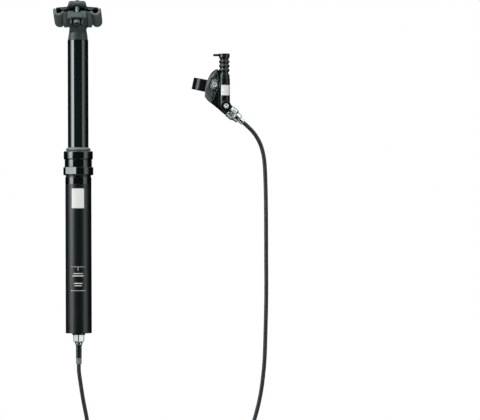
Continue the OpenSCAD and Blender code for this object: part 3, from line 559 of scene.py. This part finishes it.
def tube(name: str, points: list[Vector], radius: float, roundness: int) -> bpy.types.Curve:
    """Makes a round tube along a line.

    Args:
        name: the curve's name.
        points: the points of its middle line, in metres.
        radius: its radius, in millimetres.
        roundness: the fineness of its section.

    Returns:
        The curve.
    """
    curve = bpy.data.curves.new(name, "CURVE")
    curve.dimensions = "3D"
    curve.bevel_depth = radius * MM
    curve.bevel_resolution = roundness
    curve.use_fill_caps = True
    line = curve.splines.new("POLY")
    line.points.add(len(points) - 1)
    for at, point in zip(line.points, points):
        at.co = (*point, 1.0)
    line.use_smooth = True
    return curve


@dataclass
class Hose:
    """The hydraulic hose: down from the post, round a tied coil and up to the remote.

    Lengths are in millimetres.

    Attributes:
        diameter: the hose's diameter.
        coil_at: the coil's centre.
        coil_r: the radius of its outer turns.
        coil_turns: how many turns it has.
        layers: how many layers they lie in.
        turn_gap: the gap between the turns of a layer.
        layer_gap: the gap between the layers.
        turn_steps: points in one turn.
        stretch_steps: points between two points of a free run.
        down: the first points of the run from the post to the coil.
        up: the middle points of the run from the coil to the remote.
        end: the hose's end in the remote's nipple.
        slope: how far the hose slopes down as it leaves the nipple, in degrees.
        lead: the straight lengths at the coil's start and end and at the nipple.
    """

    diameter: float = 5.0
    coil_at: Vector = Vector((50.0, 0.0, -350.0))
    coil_r: float = 34.0
    coil_turns: float = 7.25
    layers: int = 4
    turn_gap: float = 1.0
    layer_gap: float = 0.6
    turn_steps: int = 36
    stretch_steps: int = 4
    down: tuple[Triple, ...] = ((0, 0, -226), (0, 0, -234), (1.5, 0, -246), (5, 0, -269),
                                (9, 0, -290), (13, 0, -314))
    up: tuple[Triple, ...] = ((90, 16, -383), (125, 14, -378), (158, 11, -364), (186, 8, -341),
                              (206, 5, -310), (218, 3, -272), (224, 1, -230), (226, 0, -185),
                              (227, 0, -140), (227, 0, -95), (227, 0, -50), (226.5, 0, -10),
                              (225, 0, 20), (220.5, 0, 39), (212.5, 0, 53))
    end: Triple = (199.83, 0.0, 65.4944)
    slope: float = 40.0
    lead: Triple = (12.0, 12.0, 4.0)

    @property
    def layer_turns(self) -> float:
        """Turns in one layer."""
        return self.coil_turns / self.layers

    @property
    def layer_step(self) -> float:
        """Distance from one layer to the next."""
        return self.diameter + self.layer_gap

    def coil_point(self, turn: float) -> Vector:
        """Gives a point of the coil.

        Args:
            turn: turns from the coil's start.

        Returns:
            The place of the hose's middle.
        """
        pitch = self.diameter + self.turn_gap
        layer = min(int(turn / self.layer_turns), self.layers - 1)
        along = turn - layer * self.layer_turns
        r = self.coil_r - pitch * (along if layer % 2 == 0 else self.layer_turns - along)
        quarter, rise = 0.25, 0.0
        for step in range(1, self.layers):
            near = min(max(turn - step * self.layer_turns, -quarter), quarter)
            rise += 0.5 + 0.5 * math.sin(2.0 * math.pi * near)
        a = math.pi + 2.0 * math.pi * turn
        return self.coil_at + Vector((r * math.cos(a), self.layer_step * rise, r * math.sin(a)))

    @staticmethod
    def smooth(route: list[Vector], steps: int) -> list[Vector]:
        """Runs a smooth curve through a route's own points.

        Args:
            route: the points.
            steps: points to add to each stretch.

        Returns:
            The curve's points.
        """
        last = len(route) - 1
        points = []
        for i in range(last):
            a, b, c, d = route[max(i - 1, 0)], route[i], route[i + 1], route[min(i + 2, last)]
            for k in range(steps):
                t = k / steps
                points.append(0.5 * (2 * b + (c - a) * t + (2 * a - 5 * b + 4 * c - d) * t * t
                                     + (3 * b - a - 3 * c + d) * t ** 3))
        return points + [route[last]]

    def path(self) -> list[Vector]:
        """Gives the whole middle line of the hose.

        Returns:
            Its points.
        """
        start, finish, straight = self.lead
        into = self.coil_at + Vector((-self.coil_r, 0.0, self.diameter))
        back = (self.layers - 1) * self.layer_step
        out = self.coil_at + Vector((self.diameter, back, -self.coil_r))
        slope = math.radians(self.slope)
        leave = Vector((math.cos(slope), 0.0, -math.sin(slope)))
        end = Vector(self.end)
        first = self.smooth([*map(Vector, self.down), into + start * UP, into], self.stretch_steps)
        turns = round(self.coil_turns * self.turn_steps)
        wound = [self.coil_point(i / self.turn_steps) for i in range(turns + 1)]
        last = self.smooth([out, out + Vector((finish, 0.0, 0.0)), *map(Vector, self.up),
                            end + straight * leave, end], self.stretch_steps)
        return first + wound + last

    def build(self) -> None:
        points = self.path()
        curve = tube("hose", [point * MM for point in points], self.diameter / 2, 3)
        curve.materials.append(Kit.HOSE.material())
        hose = bpy.data.objects.new("hose", curve)
        bpy.context.scene.collection.objects.link(hose)
        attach(hose, "housing")
        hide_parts("hose_post_run", "hose_coil", "hose_remote_run")
        tie = recut("coil_tie", "hose_tie", 0.4, Kit.PLASTIC)
        length = sum((b - a).length for a, b in zip(points, points[1:])) * MM
        tuple(points[0] * MM)
        LOG.info("hose: %.3f m", length)


@dataclass
class LowerPost:
    """The clamped tube with its collar, its foot and what hangs from it.

    Lengths are in millimetres.

    Attributes:
        radius: the tube's radius.
        label: lower and upper edge of the blank label.
        label_half: half the label's width.
        mark: the height of the insertion mark.
        bars: each bar's place under the mark, its height and half its angle, in degrees.
        print_lift: how far a print's underside lies above the tube.
        facing: the direction that the prints face, in degrees from +X.
        cap_rise: how far the seal cap stands above its CAD node.
        wiper_r: bore and seat radius of the wiper.
        band: lower and upper edge of the polished band.
        band_skin: how far the band reaches into the tube and out of it.
        union_r: corner radius of the union's hexagon.
        union_broken: the width of the hexagon's broken edges.
        cone_h: the height of the cone under the hexagon.
        boss_r: bore and radius of the boss above the hexagon.
        boss_drop: how far the boss's top lies below the tube's foot.
        relief: top and foot of the strain relief.
        relief_r: bore and radius of the strain relief.
        ribs: how many ribs the strain relief has.
        poppet_wire: coil radius and wire radius of the poppet's spring.
        poppet_travel: how far the poppet lifts.
        spring_turns: how many turns that spring has.
    """

    radius: float = 15.8
    label: Pair = (-37.4, -13.6)
    label_half: float = 7.4
    mark: float = -108.0
    bars: tuple[Triple, ...] = ((0.0, 0.35, 31.7), (-0.35, 4.4, 1.1), (-7.9, 0.8, 21.3),
                                (-10.6, 1.0, 26.0), (-19.7, 0.85, 20.0), (-22.5, 0.8, 16.2),
                                (-28.7, 0.45, 33.8))
    print_lift: float = 0.02
    facing: float = -90.0
    cap_rise: float = 1.4
    wiper_r: Pair = (12.56, 14.25)
    band: Pair = (-8.1, -0.2)
    band_skin: Pair = (0.1, 0.03)
    union_r: float = 7.5
    union_broken: float = 0.85
    cone_h: float = 4.1
    boss_r: Pair = (6.0, 7.8)
    boss_drop: float = 2.2
    relief: Pair = (-202.6, -218.6)
    relief_r: Pair = (2.55, 3.65)
    ribs: int = 5
    # poppet_travel: how far the poppet lifts; not used.
    poppet_wire: Pair = (2.35, 0.32)
    poppet_travel: float = 2.5
    spring_turns: int = 6

    def build(self) -> None:
        """Makes the tube, the collar and the foot."""
        recut("clamped_tube", "lower_tube", 0.2, Kit.TUBE_SATIN)
        for node, width in (("collar_nut", 0.35), ("seal_housing", 0.3)):
            recut(f"{node}_ring", node, width, Kit.COLLAR)
        self.collar_top()
        recut("foot_plug", "foot_cap", 0.3, Kit.TUBE_SATIN)
        self.hose_union()
        recut("foot_bleed", "post_bleed_screw", 0.25, Kit.FITTING)
        self.strain_relief()
        recut("grey_sleeve", "hose_sleeve", 0.2, Kit.SLEEVE)
        self.prints()
        dress(Kit.STEEL, "retaining_ring", "damper_rod")
        dress(Kit.SILVER, "foot_screws")
        dress(Kit.ALLOY, "main_piston", "poppet_valve")
        dress(Kit.SEAL, "foot_o_ring", "piston_seal")
        dress(Kit.FOAM, "foam_ring")
        dress(Kit.BRASS, "upper_bushing")
        self.poppet_spring()

    def collar_top(self) -> None:
        """Makes the seal cap, the wiper's grey lip on it and the polished band below the collar."""
        foot, top = (corner.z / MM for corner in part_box("seal_cap"))
        cap = softened("seal_cap", 0.3)
        middle = (foot + top) / 2 * MM
        bmesh.ops.translate(cap, verts=[v for v in cap.verts if v.co.z > middle],
                            vec=UP * self.cap_rise * MM)
        piece("seal_cap_ring", cap, Kit.COLLAR, "housing", ("seal_cap",))
        top += self.cap_rise
        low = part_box("wiper_seal")[0].z / MM
        bore, seat = self.wiper_r
        lip: Profile = [(bore, low), (seat, low), (seat, top + 0.5), (15.1, top + 1.4),
                        (15.2, top + 2.0), (14.9, top + 2.7), (13.9, top + 3.6), (13.0, top + 4.3),
                        (bore, top + 4.4)]
        piece("wiper_lip", lathe(lip), Kit.WIPER, "housing", ("wiper_seal",), 50.0)
        low, high = self.band
        inner, outer = self.radius - self.band_skin[0], self.radius + self.band_skin[1]
        band: Profile = [(inner, low), (outer, low), (outer, high), (inner, high)]
        piece("polished_band", lathe(band), Kit.COLLAR, "housing")

    def hose_union(self) -> None:
        """Makes the union's hexagon with broken edges, the cone under it and the boss above it."""
        foot, top = (corner.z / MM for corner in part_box("hose_fitting"))
        low = foot + self.cone_h
        hexagon = bmesh.new()
        bmesh.ops.create_cone(hexagon, cap_ends=True, segments=6, radius1=self.union_r * MM,
                              radius2=self.union_r * MM, depth=(top - low) * MM,
                              matrix=Matrix.Translation(UP * (low + top) / 2 * MM))
        upright = [e for e in hexagon.edges if abs(e.verts[0].co.z - e.verts[1].co.z) > MM]
        rounded(hexagon, upright, self.union_broken, "EDGES", 3)
        piece("hose_union", hexagon, Kit.FITTING, "housing", ("hose_fitting",))
        cone: Profile = [(2.6, foot), (4.2, foot), (4.45, foot + 0.3), (4.55, foot + 2.4),
                         (6.2, low), (2.6, low)]
        piece("union_cone", lathe(cone), Kit.FITTING, "housing")
        bore, r = self.boss_r
        low, high = top - 1.0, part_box("lower_tube")[0].z / MM - self.boss_drop
        boss: Profile = [(bore, low), (r, low), (r, high + 0.5), (r - 0.4, high), (bore, high)]
        piece("foot_boss", lathe(boss), Kit.TUBE_SATIN, "housing")

    def strain_relief(self) -> None:
        """Makes the ribbed rubber strain relief."""
        top, foot = self.relief
        bore, r = self.relief_r
        plain = 1.5
        pitch = (top - foot - 2.0 * plain) / self.ribs
        groove = ((0.0, -0.12), (-0.12, 0.05), (-0.5, 0.18), (-0.5, 1.0), (-0.12, 1.15), (0.0, 1.3))
        outline: Profile = [(bore, foot), (r - 0.35, foot), (r, foot + 0.35)]
        for i in range(self.ribs):
            outline += [(r + deep, foot + plain + i * pitch + up) for deep, up in groove]
        outline += [(r, top - 0.3), (r - 0.3, top), (bore, top)]
        piece("ribbed_relief", lathe(outline, 48), Kit.BOOT, "housing",
              ("strain_relief",), 50.0)

    def prints(self) -> None:
        """Lays the blank label and the plain insertion marks on the tube."""
        half = math.degrees(math.asin(self.label_half / self.radius))
        low, high = self.label
        under = self.radius + self.print_lift
        piece("blank_label", patch(under, low, high, self.facing, half, 0.05), Kit.LABEL,
              "housing")
        for i, (down, tall, half) in enumerate(self.bars):
            high = self.mark + down
            bar = patch(under, high - tall, high, self.facing, half, 0.04, 12, 0.15)
            piece(f"insertion_bar_{i}", bar, Kit.LABEL, "housing")

    def poppet_spring(self) -> None:
        """Winds the poppet valve's spring."""
        lo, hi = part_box("poppet_spring")
        coil = helix(*self.poppet_wire, lo.z / MM, hi.z / MM, self.spring_turns)
        made = piece("poppet_coil", coil, Kit.STEEL, "housing", ("poppet_spring",))
        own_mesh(made)


@dataclass
class UpperPost:
    """The sliding tube, the head on it and the clamp that holds the saddle's rails.

    Lengths are in millimetres.

    Attributes:
        grid: the grid of the forged pieces.
        rounds: how often the forged pieces are smoothed.
    """

    grid: float = 0.45
    rounds: int = 4

    def build(self) -> None:
        """Makes the tube, the head and the clamp."""
        recut("sliding_tube", "upper_tube", 0.15, Kit.TUBE_GLOSS, "upper_post")
        # The lower cradle takes the lighter copy of the forged grey, with painted light on its jaws.
        for node, kit, body in (("seat_head", Kit.FORGED, "upper_post"),
                                ("lower_cradle", Kit.FORGED_PAINTED_LIGHT, "saddle_clamp"),
                                ("upper_clamp", Kit.FORGED, "saddle_clamp")):
            piece(f"{node}_forging", melted(node, self.grid, self.rounds), kit, body,
                  (node,), 60.0)
        for node in ("rear_bolt", "front_bolt", "rear_nut", "front_nut"):
            recut(f"{node}_steel", node, 0.2, Kit.BOLT, node)
        dress(Kit.STEEL, "rear_washer", "front_washer", "valve_core")
        dress(Kit.BRASS, "anti_rotation_keys", "lower_bushing", "air_valve")
        dress(Kit.ALLOY, "rod_guide", "floating_piston")
        dress(Kit.SEAL, "top_out_bumper", "floating_seal")
        dress(Kit.PLASTIC, "valve_cap")


@dataclass
class Remote:
    """The thumb remote: body, button, bellows, adjuster and bar clamp.

    Lengths are in millimetres.

    Attributes:
        at: the remote's own origin, on its plunger axis.
        travel: the button's travel; not used.
        lines: X and Z of the points of each raised line, which carries painted highlight, from that
            origin.
        line_r: the lines' radius.
        boot: foot and length of the bellows.
        boot_r: radius of its necks, of its pleats and of its lip.
        boot_wall: its wall.
        neck: the height of its necks.
        lip: how far its lip reaches below and above its end.
        pleats: how many pleats it has.
        spring_wire: coil radius and wire radius of the return spring.
        spring_turns: how many turns that spring has.
    """

    at: Triple = (177.0, 0.0, 107.4)
    travel: float = 8.0
    lines: tuple[tuple[Pair, ...], ...] = (
        ((-9.2, 22.0), (-8.0, 13.0), (-7.9, 0.0), (-15.2, -17.2)), ((-10.2, -2.6), (-18.8, -13.4)))
    line_r: float = 0.5
    boot: Pair = (17.0, 19.4)
    boot_r: Triple = (5.0, 6.7, 5.8)
    boot_wall: float = 0.6
    neck: float = 2.0
    lip: float = 0.8
    pleats: int = 3
    spring_wire: Pair = (3.7, 0.55)
    spring_turns: int = 6

    def build(self) -> None:
        """Makes the remote's pieces."""
        casting = melted("remote_body", 0.35, 6)
        # The raised lines follow the wing's crest and creases, and their lighter forged grey is
        # painted highlight on those edges.
        piece("wing_highlight_lines", self.wing_highlight_lines(casting), Kit.FORGED, "housing")
        piece("remote_casting", casting, Kit.REMOTE, "housing", ("remote_body",),
              60.0)
        recut("boot_collar", "boot_ring", 0.3, Kit.BOOT)
        self.bellows()
        piece("thumb_button", melted("button_cap", 0.3, 4), Kit.BOOT, "button",
              ("button_cap",), 60.0)
        recut("fluted_adjuster", "speed_adjuster", 0.2, Kit.ADJUSTER, "adjuster")
        for node in ("hose_nipple", "hose_ferrule"):
            recut(f"{node}_turned", node, 0.2, Kit.ADJUSTER)
        recut("remote_bleed", "remote_bleed_screw", 0.2, Kit.SILVER)
        recut("hinged_band", "clamp_band", 0.4, Kit.BAND, "clamp_band")
        recut("bar_bolt", "clamp_bolt", 0.25, Kit.SILVER)
        recut("window_plate", "clamp_plate", 0.15, Kit.PLATE)
        dress(Kit.STEEL, "hinge_pin", "plunger_rod")
        dress(Kit.ALLOY, "master_piston")
        dress(Kit.SEAL, "master_seal")
        self.label()
        self.return_spring()

    def place(self) -> Matrix:
        """Gives the move from the remote's own origin to its place."""
        return Matrix.Translation(Vector(self.at) * MM)

    def wing_highlight_lines(self, casting: bmesh.types.BMesh) -> bmesh.types.BMesh:
        """Makes the fine raised lines along the crest of the wing and down its side; their lighter
        grey is painted highlight.

        Args:
            casting: the body's mesh, which carries the lines.

        Returns:
            The lines.
        """
        surface = BVHTree.FromBMesh(casting)
        steps, near, point_r, reach, ahead = 24, 2, 0.2, 0.1, Vector((0.0, 1.0, 0.0))
        bm = bmesh.new()
        for route in self.lines:
            legs = zip(route, route[1:])
            flat = [Vector(a).lerp(Vector(b), k / steps) for a, b in legs for k in range(steps)]
            rays = [self.place() @ (Vector((x, 0.0, z)) * MM) - reach * ahead for x, z in flat]
            found = [surface.ray_cast(ray, ahead)[0] for ray in rays]
            hits = [hit for hit in found if hit is not None]
            spans = [hits[max(i - near, 0):i + near + 1] for i in range(len(hits))]
            middles = [sum(span, Vector()) / len(span) for span in spans]
            curve = tube("line", middles, self.line_r, 2)
            for i, at in enumerate(curve.splines[0].points):
                at.radius = min(1.0, point_r * (1 + min(i, len(hits) - 1 - i)))
            holder = bpy.data.objects.new("line", curve)
            mesh = bpy.data.meshes.new_from_object(holder)
            bm.from_mesh(mesh)
            bpy.data.objects.remove(holder)
            bpy.data.curves.remove(curve)
            bpy.data.meshes.remove(mesh)
        return bm

    def bellows(self) -> None:
        """Makes the pleated rubber boot."""
        low, length = self.boot
        inner, out, lip_r = self.boot_r
        first, end = low + self.neck, low + length
        pitch = (length - 2.0 * self.neck) / self.pleats
        outline: Profile = [(inner, low), (inner, first - 0.3)]
        for i in range(self.pleats):
            for share in (0.0, 0.15, 0.35, 0.46, 0.54, 0.65, 0.85):
                swell = max(min(1.0, 1.04 - abs(share - 0.5) * 2.0), 0.0)
                outline.append((inner + (out - inner) * swell, first + (i + share) * pitch))
        outline += [(inner, first + self.pleats * pitch), (lip_r, end - self.lip),
                    (lip_r, end + self.lip)]
        inside = [(r - self.boot_wall, z) for r, z in reversed(outline)]
        boot = moved(lathe(outline + inside, 64), self.place())
        made = piece("pleated_boot", boot, Kit.BOOT, "housing", ("bellows_boot",),
                     70.0)
        anchor = Vector(self.at) * MM + Vector((0.0, 0.0, low * MM))
        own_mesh(made)

    def label(self) -> None:
        """Lays the blank label on the barrel."""
        panel = patch(radius=6.82, low=-8.9, high=3.5, facing=-62.0, half_angle=61.0, thick=0.05,
                      steps=28)
        piece("remote_label", moved(panel, self.place()), Kit.LABEL, "housing")

    def return_spring(self) -> None:
        """Winds the button's return spring."""
        lo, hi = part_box("return_spring")
        low, high = lo.z / MM - self.at[2], hi.z / MM - self.at[2]
        coil = moved(helix(*self.spring_wire, low, high, self.spring_turns), self.place())
        made = piece("return_coil", coil, Kit.STEEL, "housing", ("return_spring",))
        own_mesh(made)


@dataclass(frozen=True)
class Softbox:
    """An upright strip of light on the tent, with a hard inner edge and a soft outer edge.

    Attributes:
        side: -1 on the left and 1 on the right.
        inner: the angle from the camera to its inner edge, in degrees.
        full: angle where it starts to fade.
        outer: angle where it ends.
        strength: its strength above the collar.
        low: the share of that strength below the collar.
        soft: half the angle over which its inner edge fades.
        collar: the heights between which its strength changes, in metres.
    """

    side: float
    inner: float
    full: float
    outer: float
    strength: float
    low: float
    soft: float = 3.0
    collar: Pair = (-0.04, 0.01)

    def glow(self, graph: Graph, angle: Term, height: Term) -> Term:
        """Gives the light of the strip.

        Args:
            graph: the tent's node tree.
            angle: the angle round the tent from the camera, in radians.
            height: the height on the tent, in metres.

        Returns:
            The strength at that place.
        """
        turn = angle * math.degrees(self.side)
        start = graph.ramp(turn, self.inner - self.soft, self.inner + self.soft)
        strip = start * (1.0 - graph.ramp(turn, self.full, self.outer))
        rise = graph.ramp(height, *self.collar) * (1.0 - self.low) + self.low
        return strip * rise * self.strength


@dataclass(frozen=True)
class Lamp:
    """A square lamp that faces the object.

    Attributes:
        name: its name.
        at: its place, in metres.
        size: its width, in metres.
        power: its power, in watts.
    """

    name: str
    at: Triple
    size: float
    power: float

    def build(self, target: Vector) -> None:
        """Makes the lamp, which gloss doesn't see, and turns it to the target."""
        data = bpy.data.lights.new(self.name, "AREA")
        data.size = self.size
        data.energy = self.power
        lamp = bpy.data.objects.new(self.name, data)
        lamp.location = self.at
        lamp.rotation_euler = (target - Vector(self.at)).to_track_quat("-Z", "Y").to_euler()
        lamp.visible_glossy = False
        bpy.context.scene.collection.objects.link(lamp)


@dataclass
class Studio:
    """Camera, background and light.

    Attributes:
        centre: the middle of the picture, in millimetres.
        width: the width of the picture at the post, in millimetres.
        distance: from the camera to the post, in millimetres.
        middle: the object's middle across the picture, in metres.
        floor_z: the height of the floor, in millimetres.
        floor_fade: the distances between which the floor fades to white, in metres.
        ambient: the light from all round.
        tent_r: the radius of the dark tent round the object, in millimetres.
        tent_h: its height, in metres.
        roll: how far the picture leans, in degrees.
        bright: the bright softbox on the left.
        dim: the dim softbox on the right.
        overhead: the strength of the tent's pale roof.
        roof: the heights between which the roof brightens, in metres.
        red: the share of red in the tent's light.
        lights: the lamps.
    """

    centre: Pair = (195.5, -40.2)
    width: float = 580.8
    distance: float = 4500.0
    middle: float = 0.1
    floor_z: float = -400.0
    floor_fade: Pair = (0.35, 0.9)
    ambient: float = 0.35
    tent_r: float = 2000.0
    tent_h: float = 4.0
    roll: float = 0.17
    bright: Softbox = Softbox(-1.0, 45.0, 62.0, 94.0, strength=12.5, low=0.15)
    dim: Softbox = Softbox(1.0, 48.0, 64.0, 94.0, strength=2.6, low=1.0)
    overhead: float = 1.2
    roof: Pair = (0.8, 1.4)
    red: float = 0.9
    lights: tuple[Lamp, ...] = (Lamp("key", (-1.2, -1.8, 1.5), 1.2, 40.0),
                                Lamp("fill", (1.6, -1.6, 0.6), 1.2, 6.0),
                                Lamp("top", (0.1, -0.9, 2.2), 1.0, 40.0))

    def build(self) -> None:
        """Sets up the whole studio."""
        bpy.context.scene.view_settings.view_transform = "Standard"
        self.camera()
        self.world()
        self.floor()
        self.tent()
        for lamp in self.lights:
            lamp.build(Vector((self.middle, 0.0, 0.0)))

    def camera(self) -> None:
        """Puts the camera behind the post, level with the middle of the picture."""
        data = bpy.data.cameras.new("camera")
        data.sensor_width = 36.0
        data.lens = data.sensor_width * self.distance / self.width
        data.clip_end = 50.0
        camera = bpy.data.objects.new("camera", data)
        camera.location = (self.centre[0] * MM, -self.distance * MM, self.centre[1] * MM)
        camera.rotation_euler = (math.pi / 2, math.radians(self.roll), 0.0)
        bpy.context.scene.collection.objects.link(camera)
        bpy.context.scene.camera = camera

    def world(self) -> None:
        """Makes a white background with a plain level of light."""
        world = bpy.data.worlds.new("white_room")
        bpy.context.scene.world = world
        graph = Graph(world)
        seen = None
        for ray in ("Is Camera Ray", "Is Glossy Ray", "Is Transmission Ray"):
            kind = graph.node("ShaderNodeLightPath", out=ray)
            seen = kind if seen is None else seen + kind
        light, white = (graph.node("ShaderNodeBackground", None,
                                   {"Color": WHITE, "Strength": level})
                        for level in (self.ambient, 1.0))
        graph.surface(graph.node("ShaderNodeMixShader", None, {0: seen, 1: light, 2: white}))

    def floor(self) -> None:
        """Lays a pale round floor that fades into the background."""
        graph = Graph(bpy.data.materials.new("pale_floor"))
        here = graph.node("ShaderNodeTexCoord", out="Object")
        reach = graph.node("ShaderNodeVectorMath", {"operation": "LENGTH"}, {0: here}, out="Value")
        mottle = graph.noise(evenly(40.0))
        paper = graph.node("ShaderNodeBsdfDiffuse", None,
                           {"Color": graph.blend(mottle, evenly(0.86), evenly(0.9))})
        white = graph.node("ShaderNodeEmission", None, {"Color": WHITE, "Strength": 1.0})
        fade = graph.ramp(reach, *self.floor_fade)
        material = graph.surface(graph.node("ShaderNodeMixShader", None,
                                            {0: fade, 1: paper, 2: white}))
        bm = bmesh.new()
        bmesh.ops.create_circle(bm, cap_ends=True, segments=96, radius=1.0)
        moved(bm, Matrix.Translation((self.middle, 0.0, self.floor_z * MM)))
        floor = self.prop("floor", bm, material)
        floor.visible_glossy = False

    def tent(self) -> None:
        """Hangs a dark tent with two softboxes and a pale roof, which only gloss can see."""
        graph = Graph(bpy.data.materials.new("dark_tent"))
        here = graph.node("ShaderNodeTexCoord", out="Object")
        across = graph.node("ShaderNodeSeparateXYZ", None, {0: here}, out="X")
        depth, height = (Term(graph, across.socket.node.outputs[axis]) for axis in "YZ")
        angle = graph.node("ShaderNodeMath", {"operation": "ARCTAN2"}, {0: across, 1: depth * -1.0})
        glow = self.bright.glow(graph, angle, height) + self.dim.glow(graph, angle, height)
        glow = glow + graph.ramp(height, *self.roof) * self.overhead
        colour = graph.node("ShaderNodeCombineColor", None, {0: glow * self.red, 1: glow, 2: glow})
        material = graph.surface(graph.node("ShaderNodeEmission", None,
                                            {"Color": colour, "Strength": 1.0}))
        bm = bmesh.new()
        bmesh.ops.create_cone(bm, cap_ends=True, segments=128, radius1=self.tent_r * MM,
                              radius2=self.tent_r * MM, depth=self.tent_h)
        tent = self.prop("tent", bm, material)
        for ray in ("camera", "diffuse", "transmission", "volume_scatter", "shadow"):
            setattr(tent, f"visible_{ray}", False)

    @staticmethod
    def prop(name: str, bm: bmesh.types.BMesh, material: bpy.types.Material) -> bpy.types.Object:
        """Makes a stage object.

        Args:
            name: the object's name.
            bm: its mesh, which is freed.
            material: its material.

        Returns:
            The object.
        """
        mesh = bpy.data.meshes.new(name)
        bm.to_mesh(mesh)
        bm.free()
        mesh.materials.append(material)
        made = bpy.data.objects.new(name, mesh)
        bpy.context.scene.collection.objects.link(made)
        return made


def main() -> None:
    """Builds the studio and every sub-assembly."""
    logging.basicConfig(level=logging.INFO, format="%(name)s %(message)s")
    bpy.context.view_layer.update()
    Studio().build()
    Hose().build()
    LowerPost().build()
    UpperPost().build()
    Remote().build()


if __name__ == "__main__":
    main()
